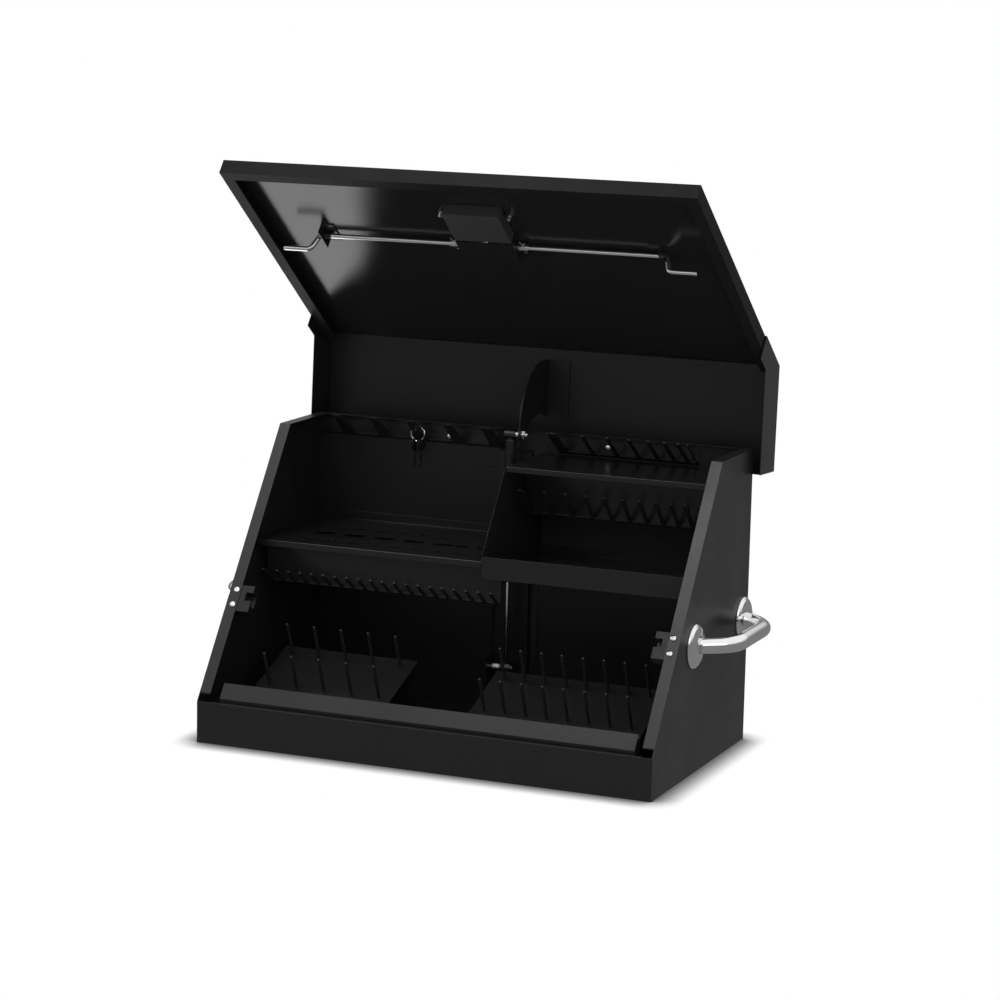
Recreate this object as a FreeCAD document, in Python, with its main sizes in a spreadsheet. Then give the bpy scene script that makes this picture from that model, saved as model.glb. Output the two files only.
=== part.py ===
import FreeCAD, Part
import math
import os
import re
import Sketcher

Vector = FreeCAD.Vector
Placement = FreeCAD.Placement
Rotation = FreeCAD.Rotation

# Top tool chest with a sloping front, shown with its lid open.
# The origin is the centre of the base, +Z is up and the open front faces -Y.
# Every height is from the base. Every depth is from the front face of the case.
# Sizes are in millimetres and angles in degrees.
FEW = 12  # sides of a small round that nothing turns on
MANY = 24  # sides of the handles' tubes and domes
SIZES = {
    # case
    "case_width": 762,
    "case_depth": 427,
    "case_height": 471,
    "front_height": 66,
    "top_depth": 147,
    "case_gauge": 1.2,
    "edge_flange": 19,
    "front_hem": 9,
    "front_hem_drop": 8,
    "rear_rim": 10,
    # stiffening channel on the back wall
    "channel_left": -63,
    "channel_width": 84,
    "channel_flange": 13,
    "channel_depth": 12,
    # finger racks
    "rack_gauge": 2,
    "upper_rack_below": 35,
    "upper_rack_rise": 40,
    "upper_rack_reach": 58,
    "upper_rack_flange": 26,
    "upper_rack_land": 7,
    "plier_fingers": 5,
    "plier_first": -321,
    "plier_pitch": 66.25,
    "plier_tip_width": 13,
    "plier_root_width": 24,
    "small_fingers": 9,
    "small_first": 66,
    "small_pitch_start": 47,
    "small_pitch_end": 13,
    "small_tip_width": 6,
    "small_root_width": 8,
    "small_rack_margin": 14,
    # perforated shelf and the rack of fingers under it
    "shelf_height": 295,
    "shelf_behind": 30.7,
    "shelf_lip": 10,
    "shelf_back_lip": 14,
    "shelf_notch_width": 44,
    "shelf_notch_before": 65,
    "slot_row_depth": 290,
    "slot_first": -301,
    "slot_pitch": 53,
    "slot_length": 36,
    "slot_width": 24,
    "round_hole_radius": 11,
    "round_hole_pitch": 37,
    "small_hole_radius": 6.5,
    "small_hole_pitch": 38,
    "front_hole_row": 232,
    "back_hole_row": 345,
    "wrench_fingers": 20,
    "wrench_first": -358,
    "wrench_pitch": 20.8,
    "wrench_finger_width": 6.5,
    "wrench_plate_behind": 25,
    "wrench_root_below": 73,
    "wrench_rise": 23,
    "wrench_reach": 29,
    "wrench_top_flange": 16,
    "wrench_end_tab": 24,
    # right-hand bay: divider, tray, upper shelf and its rack
    "divider_left": 22.4,
    "tray_height": 270,
    "tray_behind": 14.8,
    "tray_wall": 35,
    "upper_shelf_below": 36,
    "upper_shelf_lip": 9,
    "driver_fingers": 11,
    "driver_first": 36,
    "driver_pitch_start": 37.5,
    "driver_pitch_end": 22,
    "driver_finger_width": 7,
    "driver_plate_before": 77,
    "driver_root_below": 90,
    "driver_rise": 45,
    "driver_reach": 40,
    # bottom tray, its racks and pegs
    "tray_lip_front": 13,
    "tray_lip_base": 71,
    "tray_lip_length": 27,
    "tray_half_length": 348,
    "tray_depth": 232,
    "tray_back_lip": 12,
    "peg_plate_front": 85,
    "peg_plate_depth": 120,
    "peg_plate_height": 72,
    "peg_plate_angle": 21.8,
    "peg_plate_margin": 22,
    "peg_row_front": 21.5,
    "peg_row_gap": 86,
    "peg_length": 60,
    "peg_radius": 2.75,
    "left_pegs": 5,
    "left_peg_first": -306,
    "left_peg_pitch": 47.75,
    "right_pegs": 8,
    "right_peg_first": 65,
    "right_peg_pitch": 34.7,
    # catches on the sloping edges
    "catch_inner": 340,
    "catch_along": 181,
    "catch_height": 45,
    "catch_thickness": 21,
    "catch_play": 1.2,
    "catch_drift": 4.8,
    "catch_headroom": 1.2,
    "catch_screw_gap": 25.5,
    "catch_screw_across": 369,
    "screw_radius": 2.4,
    "screw_head_radius": 4.2,
    "screw_head_height": 2.8,
    "screw_clearance": 0.1,
    # side handles
    "handle_span": 229.5,
    "handle_before": 140.75,
    "handle_height": 202,
    "handle_radius": 12.5,
    "handle_reach": 54,
    "handle_grip": 150,
    "handle_bend": 58,
    "handle_foot": 5,
    "handle_flange_radius": 34.5,
    "handle_flange_height": 11,
    "handle_flange_rim": 2.5,
    "handle_bolt_radius": 4,
    "handle_bolt_head": 6.5,
    "handle_bolt_head_height": 4,
    "handle_bolt_depth": 9,
    # hinge
    "hinge_behind": 3.5,
    "hinge_below": 37,
    "hinge_barrel_radius": 3.2,
    "hinge_pin_radius": 1.5,
    "hinge_fit": 0.05,
    "hinge_gap": 0.3,
    "hinge_length": 720,
    "hinge_knuckles": 11,
    "hinge_gauge": 1.5,
    "hinge_leaf": 22,
    "open_angle": 93.3,
    # lid
    "lid_gauge": 1.2,
    "lid_rise": 25.7,
    "lid_half_width": 392.8,
    "lid_tip_overhang": 3.8,
    "lid_pan_depth": 24,
    "lid_pan_beyond": 3.84,
    "lid_return": 19,
    "lid_return_short": 7.36,
    "cover_side_gap": 1.5,
    "cover_lap": 91,
    "cover_front_depth": 43,
    "cover_cheek_drop": 72,
    # arm on the lid that the gas spring pushes
    "arm_gauge": 3,
    "arm_plane": 0,
    "arm_boss_radius": 11,
    "arm_bulge": 38,
    "arm_pivot_before": 28,
    "arm_pivot_below": 81.4,
    "arm_base_before": 143,
    "arm_base_length": 94,
    "arm_base_width": 40,
    # gas spring
    "spring_across": -18,
    "spring_before": 39,
    "spring_length": 388,
    "spring_tube_radius": 9,
    "spring_tube_length": 236,
    "spring_rod_radius": 4,
    "spring_rod_overlap": 62,
    "spring_stroke": 79,
    "spring_rod_fit": 0.3,
    "spring_eye_radius": 8,
    "spring_eye_width": 18.4,
    "spring_stud_radius": 4,
    "spring_stud_fit": 0.05,
    "open_pivot_gap": 0.3,
    "foot_bracket_gauge": 2,
    "foot_bracket_depth": 36,
    "foot_bracket_below": 375,
    "foot_bracket_base": 32,
    "foot_bracket_gap": 19,
    # latch: shaft, rods and guides, along the lid's inner face
    "latch_along": 183,
    "latch_below": 9.7,
    "latch_rod_radius": 4,
    "latch_rod_step": 27,
    "latch_rod_straight": 293,
    "latch_rod_end": 348,
    "latch_rod_slant": 10,
    "latch_rod_bend": 9,
    "latch_shaft_radius": 5,
    "latch_shaft_half": 50,
    "latch_fit": 0.05,
    "coupling_length": 16,
    "coupling_radius": 6,
    "cotter_radius": 1.2,
    "latch_turn": 15,
    "latch_lever_length": 20,
    "latch_lever_width": 8,
    "latch_lever_gauge": 3,
    "latch_bracket_half": 48,
    "latch_bracket_height": 46,
    "latch_bracket_depth": 19.5,
    "latch_bracket_gauge": 2,
    "latch_bracket_foot": 11,
    "guide_across": 285,
    "guide_gauge": 2,
    "guide_height": 44,
    "guide_foot": 20,
    "guide_below": 9,
    "return_spring_wire": 0.7,
    "return_spring_radius": 5.1,
    "return_spring_length": 12,
    # paddle, its housing and the key lock
    "dish_half_width": 47,
    "dish_low": 85,
    "dish_length": 72,
    "dish_gauge": 2,
    "dish_depth": 20,
    "housing_half_width": 66,
    "housing_margin": 14,
    "housing_face": 2,
    "paddle_half_width": 42,
    "paddle_length": 57,
    "paddle_gauge": 3,
    "paddle_barrel_radius": 3.2,
    "paddle_pin_radius": 1.5,
    "paddle_pin_below": 5.7,
    "paddle_pin_from_end": 7,
    "paddle_pull": 25,
    "paddle_tail": 15.1,
    "paddle_tail_half_width": 4,
    "lock_radius": 9,
    "lock_face_radius": 11,
    "lock_from_pin": 38,
    "lock_body": 11,
    "lock_cam_gauge": 2,
    "lock_cam_length": 18,
    "keeper_across": 12,
    "keeper_width": 8,
    "keeper_length": 16,
    "keeper_gauge": 2,
    "bolt_across": 57,
    "bolt_along": 104,
    "bolt_radius": 3,
    "bolt_head_radius": 5.5,
    # keys
    "ring_radius": 12,
    "ring_wire": 1,
    "ring_before": 27,
    "key_gauge": 2.4,
    "key_gap": 1.6,
    "key_head_radius": 9.5,
    "key_hole_radius": 2.6,
    "key_hole_offset": 5.5,
    "key_blade_width": 7,
    "key_blade_length": 27,
    # fits
    "face_gap": 0.3,
}

# Places that follow from the sizes: what hangs from the top edge keeps its distance below it
# ("below"), and what belongs to the rear wall keeps its distance in front of it ("before").
# Fronts of shelves keep their distance behind the sloping edge ("behind"), and the lid's pan
# follows the length of that edge. The spring's foot stands where its full length puts the
# upper eye beside the open arm's pivot.
PLACES = {
    "slope_length": "sqrt((case_depth - top_depth)^2 + (case_height - front_height)^2)",
    "slope_run": "(case_depth - top_depth) / (case_height - front_height)",
    "shelf_front": "(shelf_height - front_height) * slope_run + shelf_behind",
    "tray_front": "(tray_height + tray_wall - front_height) * slope_run + tray_behind",
    "lid_pan_length": "slope_length + lid_tip_overhang + lid_pan_beyond",
    "lid_return_length": "slope_length - lid_return_short",
    "hinge_height": "case_height - hinge_below",
    "upper_rack_height": "case_height - upper_rack_below",
    "upper_shelf_height": "case_height - upper_shelf_below",
    "driver_root_height": "upper_shelf_height - driver_root_below",
    "driver_plate_depth": "case_depth - driver_plate_before",
    "wrench_root_height": "shelf_height - wrench_root_below",
    "wrench_plate_depth": "shelf_front + wrench_plate_behind",
    "shelf_notch_front": "case_depth - shelf_notch_before",
    "handle_centre": "case_depth - handle_before",
    "arm_pivot_depth": "case_depth - arm_pivot_before",
    "arm_pivot_height": "case_height - arm_pivot_below",
    "arm_base_front": "case_depth - arm_base_before",
    "spring_depth": "case_depth - spring_before",
    "spring_foot_height": "hinge_height + (hinge_behind + arm_pivot_before) * sin(open_angle)"
    " + (arm_pivot_height - hinge_height) * cos(open_angle) - spring_length",
    "foot_bracket_top": "case_height - foot_bracket_below",
    "ring_depth": "case_depth - ring_before",
}

doc = FreeCAD.newDocument("TopToolChest")
sheet = doc.addObject("Spreadsheet::Sheet", "Sizes")
rows = [(alias, str(size)) for alias, size in SIZES.items()]
rows += [(alias, f"={place}") for alias, place in PLACES.items()]
for row, (alias, value) in enumerate(rows, start=1):
    sheet.set(f"A{row}", alias)
    sheet.setAlias(f"B{row}", alias)
for row, (alias, value) in enumerate(rows, start=1):
    sheet.set(f"B{row}", value)
doc.recompute()

ALIAS = re.compile(r"\b(" + "|".join((*SIZES, *PLACES)) + r")\b")


def size(alias):
    """The number that the sheet holds under this alias."""
    return float(sheet.get(alias))


def bound(text):
    """An expression for a property, with each alias pointing at the sheet."""
    return ALIAS.sub(r"Sizes.\1", text)


# The sloping edge runs back and up from the top of the front wall.
RUN = "(case_depth - top_depth)"
RISE = "(case_height - front_height)"
EDGE = f"sqrt({RUN}^2 + {RISE}^2)"
COS = f"({RUN} / {EDGE})"
SIN = f"({RISE} / {EDGE})"
slope_angle = math.degrees(
    math.atan2(size("case_height") - size("front_height"), size("case_depth") - size("top_depth"))
)
slope_cos = math.cos(math.radians(slope_angle))
slope_sin = math.sin(math.radians(slope_angle))

# Four frames: the case, its sloping edge, the lid (drawn closed, then turned open)
# and the lid's sloping face. In the last two frames the pieces are drawn as they lie
# with the lid closed, so that what meets the case lines up with it.
hinge_y = size("case_depth") + size("hinge_behind")
hinge_z = size("hinge_height")
along_x = Vector(1, 0, 0)
CASE = Placement(Vector(0, -size("case_depth") / 2, 0), Rotation())
SLOPE = CASE * Placement(Vector(0, 0, size("front_height")), Rotation(along_x, slope_angle))
OPEN = (
    CASE
    * Placement(Vector(0, hinge_y, hinge_z), Rotation(along_x, -size("open_angle")))
    * Placement(Vector(0, -hinge_y, -hinge_z), Rotation())
)
LID = OPEN
LID_SLOPE = OPEN * CASE.inverse() * SLOPE

sub_parts = []


def keep(obj, label, frame=None, shift=Vector(0, 0, 0)):
    """Names a finished sub-part and puts it in its frame."""
    obj.Label = label
    if frame is not None:
        obj.Placement = frame * Placement(shift, Rotation())
    sub_parts.append(obj)
    return obj


def bind(obj, **sizes):
    """Ties properties to expressions, such as Length='case_width / 2'."""
    for name, text in sizes.items():
        obj.setExpression(name.replace("__", "."), bound(text))
    return obj


def block(x, y, z, at=("0", "0", "0")):
    """A box of the sizes x, y, z with its lowest corner at the point at."""
    obj = doc.addObject("Part::Box", "Block")
    bind(obj, Length=x, Width=y, Height=z)
    bind(obj, Placement__Base__x=at[0], Placement__Base__y=at[1], Placement__Base__z=at[2])
    return obj


TURNS = {
    "x": Rotation(Vector(0, 1, 0), 90),
    "y": Rotation(Vector(1, 0, 0), -90),
    "z": Rotation(),
    "-z": Rotation(Vector(1, 0, 0), 180),
}


def rod(radius, length, at, axis="z"):
    """A cylinder that starts at the point at and runs along the axis."""
    obj = doc.addObject("Part::Cylinder", "Rod")
    bind(obj, Radius=radius, Height=length)
    obj.Placement = Placement(Vector(), TURNS[axis])
    bind(obj, Placement__Base__x=at[0], Placement__Base__y=at[1], Placement__Base__z=at[2])
    return obj


def prism(sides, radius, height, at, axis="z"):
    """A bar with even sides, measured to its corners: a nut, or a small round with few faces."""
    obj = doc.addObject("Part::Prism", "Prism")
    obj.Polygon = sides
    bind(obj, Circumradius=radius, Height=height)
    obj.Placement = Placement(Vector(), TURNS[axis])
    bind(obj, Placement__Base__x=at[0], Placement__Base__y=at[1], Placement__Base__z=at[2])
    return obj


def join(*shapes):
    """One solid from several that touch or overlap."""
    obj = doc.addObject("Part::MultiFuse", "Join")
    obj.Shapes = list(shapes)
    obj.Refine = True
    return obj


def gather(*shapes):
    """A group of separate solids that share one node."""
    obj = doc.addObject("Part::Compound", "Group")
    obj.Links = list(shapes)
    return obj


def cut(base, *tools):
    """The base with the tools' space taken out."""
    obj = doc.addObject("Part::Cut", "Cut")
    obj.Base = base
    obj.Tool = tools[0] if len(tools) == 1 else join(*tools)
    return obj


def sketch_on(body, role, loops=(), circles=(), offset=None):
    """A sketch on one of the body's origin planes, with every point bound to the sheet."""
    sketch = body.newObject("Sketcher::SketchObject", "Outline")
    plane = next(f for f in body.Origin.OriginFeatures if f.Role == role)
    sketch.AttachmentSupport = (plane, [""])
    sketch.MapMode = "FlatFace"
    if offset is not None:
        bind(sketch, AttachmentOffset__Base__z=offset)
    for points in loops:
        first = sketch.GeometryCount
        count = len(points)
        spread = [2 * math.pi * i / count + 0.3 for i in range(count)]
        start = [Vector(200 + 90 * math.cos(a), 200 + 90 * math.sin(a), 0) for a in spread]
        for i in range(count):
            sketch.addGeometry(Part.LineSegment(start[i], start[(i + 1) % count]))
        for i in range(count):
            line, following = first + i, first + (i + 1) % count
            sketch.addConstraint(Sketcher.Constraint("Coincident", line, 2, following, 1))
        for i in range(count):
            for axis, text, value in zip("XY", points[i], start[i]):
                link = Sketcher.Constraint("Distance" + axis, -1, 1, first + i, 1, value)
                index = sketch.addConstraint(link)
                sketch.setExpression(f"Constraints[{index}]", bound(text))
    for across, up, radius in circles:
        circle = sketch.addGeometry(Part.Circle(Vector(200, 200, 0), Vector(0, 0, 1), 9))
        for kind, text, value in (("DistanceX", across, 200), ("DistanceY", up, 200)):
            index = sketch.addConstraint(Sketcher.Constraint(kind, -1, 1, circle, 3, value))
            sketch.setExpression(f"Constraints[{index}]", bound(text))
        index = sketch.addConstraint(Sketcher.Constraint("Radius", circle, 9))
        sketch.setExpression(f"Constraints[{index}]", bound(radius))
    return sketch


def new_body():
    return doc.addObject("PartDesign::Body", "Body")


def pad(body, sketch, length, back=False):
    """Adds the outline's solid, along the plane's normal or against it."""
    feature = body.newObject("PartDesign::Pad", "Pad")
    feature.Profile = (sketch, [""])
    feature.Reversed = back
    bind(feature, Length=length)
    return feature


def pocket(body, sketch, length=None, back=False):
    """Takes the outline's space out, against the plane's normal unless back is set."""
    feature = body.newObject("PartDesign::Pocket", "Pocket")
    feature.Profile = (sketch, [""])
    feature.Reversed = back
    if length is None:
        feature.Type = "ThroughAll"
        feature.SideType = "Symmetric"
    else:
        bind(feature, Length=length)
    return feature


def ladder(first, start, end, count, index):
    """A place in a row of fingers whose pitch shrinks evenly from start to end."""
    step = f"(({start} - {end}) / ({count} - 2))"
    return f"({first} + {index} * {start} - {index} * ({index} - 1) / 2 * {step})"


def finger_gaps(places, tip_width, root_width, tip_line, root_line):
    """The notches between neighbouring fingers, seen from above."""
    gaps = []
    for left, right in zip(places, places[1:]):
        gaps.append(
            [
                (f"{left} + {tip_width} / 2", tip_line),
                (f"{right} - {tip_width} / 2", tip_line),
                (f"{right} - {root_width} / 2", root_line),
                (f"{left} + {root_width} / 2", root_line),
            ]
        )
    return gaps


def solid_feature(shape, label, frame):
    """A sub-part whose shape is worked out here from the sheet's sizes."""
    obj = doc.addObject("Part::Feature", "Shaped")
    obj.Shape = shape
    obj.Placement = frame * shape.Placement
    obj.Label = label
    sub_parts.append(obj)
    return obj


def bent_rod(points, radius, bend, sides):
    """A rod with even sides, along straight runs joined by arcs that all lie in one plane."""
    corners = [Vector(*p) for p in points]
    level = (corners[1] - corners[0]).cross(corners[2] - corners[1]).normalize()

    def section(at, way):
        across = way.cross(level)
        angles = [2 * math.pi * i / sides for i in range(sides)]
        ring = [at + (level * math.cos(a) + across * math.sin(a)) * radius for a in angles]
        return Part.Face(Part.makePolygon([*ring, ring[0]]))

    pieces = []
    start = corners[0]
    for before, corner, after in zip(corners, corners[1:], corners[2:]):
        into = (corner - before).normalize()
        out = (after - corner).normalize()
        turn = into.getAngle(out)
        arc_start = corner - into * bend * math.tan(turn / 2)
        pieces.append(section(start, into).extrude(arc_start - start))
        axis = into.cross(out).normalize()
        centre = arc_start + axis.cross(into) * bend
        pieces.append(section(arc_start, into).revolve(centre, axis, math.degrees(turn)))
        start = corner + out * bend * math.tan(turn / 2)
    way = (corners[-1] - start).normalize()
    pieces.append(section(start, way).extrude(corners[-1] - start))
    return pieces[0].fuse(pieces[1:])


SHAFT_OFF = "(lid_rise - latch_below)"
HALF_IN = "(case_width / 2 - case_gauge)"
BACK_IN = "(case_depth - case_gauge)"


def side_panel(label, left):
    """A side wall with an inward flange along its sloping and top edges."""
    body = new_body()
    outline = [
        ("0", "0"),
        ("case_depth", "0"),
        ("case_depth", "case_height"),
        ("case_depth - top_depth", "case_height"),
        ("0", "front_height"),
    ]
    pad(body, sketch_on(body, "YZ_Plane", [outline]), "edge_flange", back=not left)
    inner_rise = f"(front_height - case_gauge / {COS})"
    flange_start = f"{inner_rise} + front_hem * {RISE} / {RUN}"
    top_corner = f"(case_height - case_gauge - {inner_rise}) * {RUN} / {RISE}"
    inside = [
        ("-1", "-1"),
        ("case_depth + 1", "-1"),
        ("case_depth + 1", "case_height + 1"),
        ("case_depth - rear_rim", "case_height + 1"),
        ("case_depth - rear_rim", "case_height - case_gauge"),
        (top_corner, "case_height - case_gauge"),
        ("front_hem", flange_start),
        ("front_hem", "case_height"),
        ("-1", "case_height"),
    ]
    shift = "case_gauge" if left else "-case_gauge"
    hollow = sketch_on(body, "YZ_Plane", [inside], offset=shift)
    pocket(body, hollow, "edge_flange", back=left)
    bolts = [
        (f"handle_centre + {side} * handle_span / 2", "handle_height", "handle_bolt_radius")
        for side in (-1, 1)
    ]
    pocket(body, sketch_on(body, "YZ_Plane", circles=bolts), None)
    across = -size("case_width") / 2 if left else size("case_width") / 2
    body.Placement.Base = Vector(across, 0, 0)
    drill = [catch_hole(side_sign(left), end) for end in (-1, 1)]
    return keep(cut(body, *drill), label, CASE)


def side_sign(left):
    return -1 if left else 1


def catch_hole(sign, end):
    """The clearance hole of a catch screw, square to the sloping edge."""
    hole = doc.addObject("Part::Cylinder", "Hole")
    bind(hole, Radius="screw_radius + screw_clearance", Height="edge_flange")
    along = size("catch_along") + end * size("catch_screw_gap") / 2
    local = Placement(
        Vector(sign * size("catch_screw_across"), along, -size("edge_flange") / 2), Rotation()
    )
    hole.Placement = CASE.inverse() * SLOPE * local
    return hole


def back_panel():
    """The rear wall with a rim folded forward along its top."""
    body = new_body()
    outline = [
        ("case_depth", "0"),
        ("case_depth", "case_height"),
        ("case_depth - rear_rim", "case_height"),
        ("case_depth - rear_rim", "case_height - case_gauge"),
        (BACK_IN, "case_height - case_gauge"),
        (BACK_IN, "0"),
    ]
    pad(body, sketch_on(body, "YZ_Plane", [outline]), f"2 * {HALF_IN}")
    keep(body, "back_panel", CASE, Vector(-size("case_width") / 2 + size("case_gauge"), 0, 0))


def bottom_panel():
    at = (f"-{HALF_IN}", "case_gauge", "0")
    floor = block(f"2 * {HALF_IN}", "case_depth - 2 * case_gauge", "case_gauge", at)
    keep(gather(floor), "bottom_panel", CASE)


def front_panel():
    """The low front wall, hemmed back along its top between the side flanges."""
    wall = block(f"2 * {HALF_IN}", "case_gauge", "front_height", (f"-{HALF_IN}", "0", "0"))
    hem_half = "(case_width / 2 - edge_flange - face_gap)"
    shelf_at = (f"-{hem_half}", "0", "front_height - case_gauge")
    top = block(f"2 * {hem_half}", "front_hem", "case_gauge", shelf_at)
    drop_at = (f"-{hem_half}", "front_hem - case_gauge", "front_height - front_hem_drop")
    drop = block(f"2 * {hem_half}", "case_gauge", "front_hem_drop", drop_at)
    keep(join(wall, top, drop), "front_panel", CASE)


def back_channel():
    """A hat-section stiffener up the middle of the rear wall."""
    body = new_body()
    left, right = "channel_left", "(channel_left + channel_width)"
    front = f"({BACK_IN} - channel_depth)"
    foot = f"({BACK_IN} - case_gauge)"
    outline = [
        (left, BACK_IN),
        (left, foot),
        (f"{left} + channel_flange", foot),
        (f"{left} + channel_flange", front),
        (f"{right} - channel_flange", front),
        (f"{right} - channel_flange", foot),
        (right, foot),
        (right, BACK_IN),
        (f"{right} - channel_flange - case_gauge", BACK_IN),
        (f"{right} - channel_flange - case_gauge", f"{front} + case_gauge"),
        (f"{left} + channel_flange + case_gauge", f"{front} + case_gauge"),
        (f"{left} + channel_flange + case_gauge", BACK_IN),
    ]
    height = "upper_rack_height - 2 * case_gauge"
    pad(body, sketch_on(body, "XY_Plane", [outline]), height)
    keep(body, "back_channel", CASE, Vector(0, 0, size("case_gauge")))


def wall_rack(label, left_end, right_end, places, tip_width, root_width, end_notch=False):
    """A comb bolted to the rear wall, its fingers rising forward from the bend."""
    body = new_body()
    tilt = "(upper_rack_rise / upper_rack_reach)"
    lift = f"(rack_gauge * sqrt(1 + {tilt}^2))"
    outline = [
        (BACK_IN, "upper_rack_height"),
        (BACK_IN, "upper_rack_height + upper_rack_flange"),
        (f"{BACK_IN} - rack_gauge", "upper_rack_height + upper_rack_flange"),
        (f"{BACK_IN} - rack_gauge", f"upper_rack_height + {lift} + rack_gauge * {tilt}"),
        (f"{BACK_IN} - upper_rack_reach", f"upper_rack_height + upper_rack_rise + {lift}"),
        (f"{BACK_IN} - upper_rack_reach", "upper_rack_height + upper_rack_rise"),
    ]
    section = sketch_on(body, "YZ_Plane", [outline], offset=left_end)
    pad(body, section, f"{right_end} - {left_end}")
    tip_line = f"{BACK_IN} - upper_rack_reach - 1"
    root_line = f"{BACK_IN} - upper_rack_land"
    gaps = finger_gaps(places, tip_width, root_width, tip_line, root_line)
    if end_notch:
        beyond = f"{left_end} - 1"
        gaps.append(
            [
                (beyond, tip_line),
                (f"{places[0]} - {tip_width} / 2", tip_line),
                (f"{places[0]} - {root_width} / 2", root_line),
                (beyond, root_line),
            ]
        )
    pocket(body, sketch_on(body, "XY_Plane", gaps), None)
    keep(body, label, CASE)


def plier_rack():
    count = int(size("plier_fingers"))
    places = [f"(plier_first + {i} * plier_pitch)" for i in range(count)]
    right = f"{places[-1]} + plier_root_width / 2"
    widths = ("plier_tip_width", "plier_root_width")
    wall_rack("plier_rack", f"-{HALF_IN}", right, places, *widths, end_notch=True)


def small_tool_rack():
    count = int(size("small_fingers"))
    pitches = ("small_pitch_start", "small_pitch_end", "small_fingers")
    places = [ladder("small_first", *pitches, i) for i in range(count)]
    left = "small_first - small_rack_margin"
    right = f"{places[-1]} + small_rack_margin"
    widths = ("small_tip_width", "small_root_width")
    wall_rack("small_tool_rack", left, right, places, *widths)


def hanging_rack(label, spec, places, left_end, right_end):
    """A comb hung under a shelf: a flange, an upright plate and fingers rising forward."""
    depth, root, rise, reach, top, finger = spec
    body = new_body()
    tilt = f"({rise} / {reach})"
    lift = f"(rack_gauge * sqrt(1 + {tilt}^2))"
    outline = [
        (f"{depth} + rack_gauge", root),
        (f"{depth} + rack_gauge", f"{top} - rack_gauge"),
        (f"{depth} + wrench_top_flange", f"{top} - rack_gauge"),
        (f"{depth} + wrench_top_flange", top),
        (depth, top),
        (depth, f"{root} + {lift} + rack_gauge * {tilt}"),
        (f"{depth} - {reach}", f"{root} + {rise} + {lift}"),
        (f"{depth} - {reach}", f"{root} + {rise}"),
    ]
    pad(body, sketch_on(body, "YZ_Plane", [outline], offset=left_end), f"{right_end} - {left_end}")
    tip_line = f"{depth} - {reach} - 1"
    gaps = finger_gaps(places, finger, finger, tip_line, f"{depth} - rack_gauge")
    pocket(body, sketch_on(body, "XY_Plane", gaps), None)
    return body


def wrench_rack():
    """Twenty fingers under the shelf. Its right end passes below the tray beside it."""
    count = int(size("wrench_fingers"))
    places = [f"(wrench_first + {i} * wrench_pitch)" for i in range(count)]
    places.append(f"({places[-1]} + wrench_end_tab)")
    top = "(shelf_height - case_gauge)"
    keys = ("wrench_plate_depth", "wrench_root_height", "wrench_rise", "wrench_reach", top)
    left = "wrench_first - wrench_pitch / 2"
    right = f"{places[-1]} + wrench_finger_width / 2"
    body = hanging_rack("wrench_rack", keys + ("wrench_finger_width",), places, left, right)
    corner = [
        ("divider_left - 1", "tray_height - 1"),
        ("divider_left + wrench_pitch * 5", "tray_height - 1"),
        ("divider_left + wrench_pitch * 5", "shelf_height + 5"),
        ("divider_left - 1", "shelf_height + 5"),
    ]
    pocket(body, sketch_on(body, "XZ_Plane", [corner]), None)
    keep(body, "wrench_rack", CASE)


def driver_rack():
    """Eleven fingers under the upper shelf, closer together towards the right."""
    count = int(size("driver_fingers"))
    pitches = ("driver_pitch_start", "driver_pitch_end", "driver_fingers")
    places = [ladder("driver_first", *pitches, i) for i in range(count)]
    top = "(upper_shelf_height - case_gauge)"
    keys = ("driver_plate_depth", "driver_root_height", "driver_rise", "driver_reach", top)
    left = "divider_left + case_gauge"
    right = f"{places[-1]} + driver_finger_width"
    body = hanging_rack("driver_rack", keys + ("driver_finger_width",), places, left, right)
    keep(body, "driver_rack", CASE)


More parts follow.
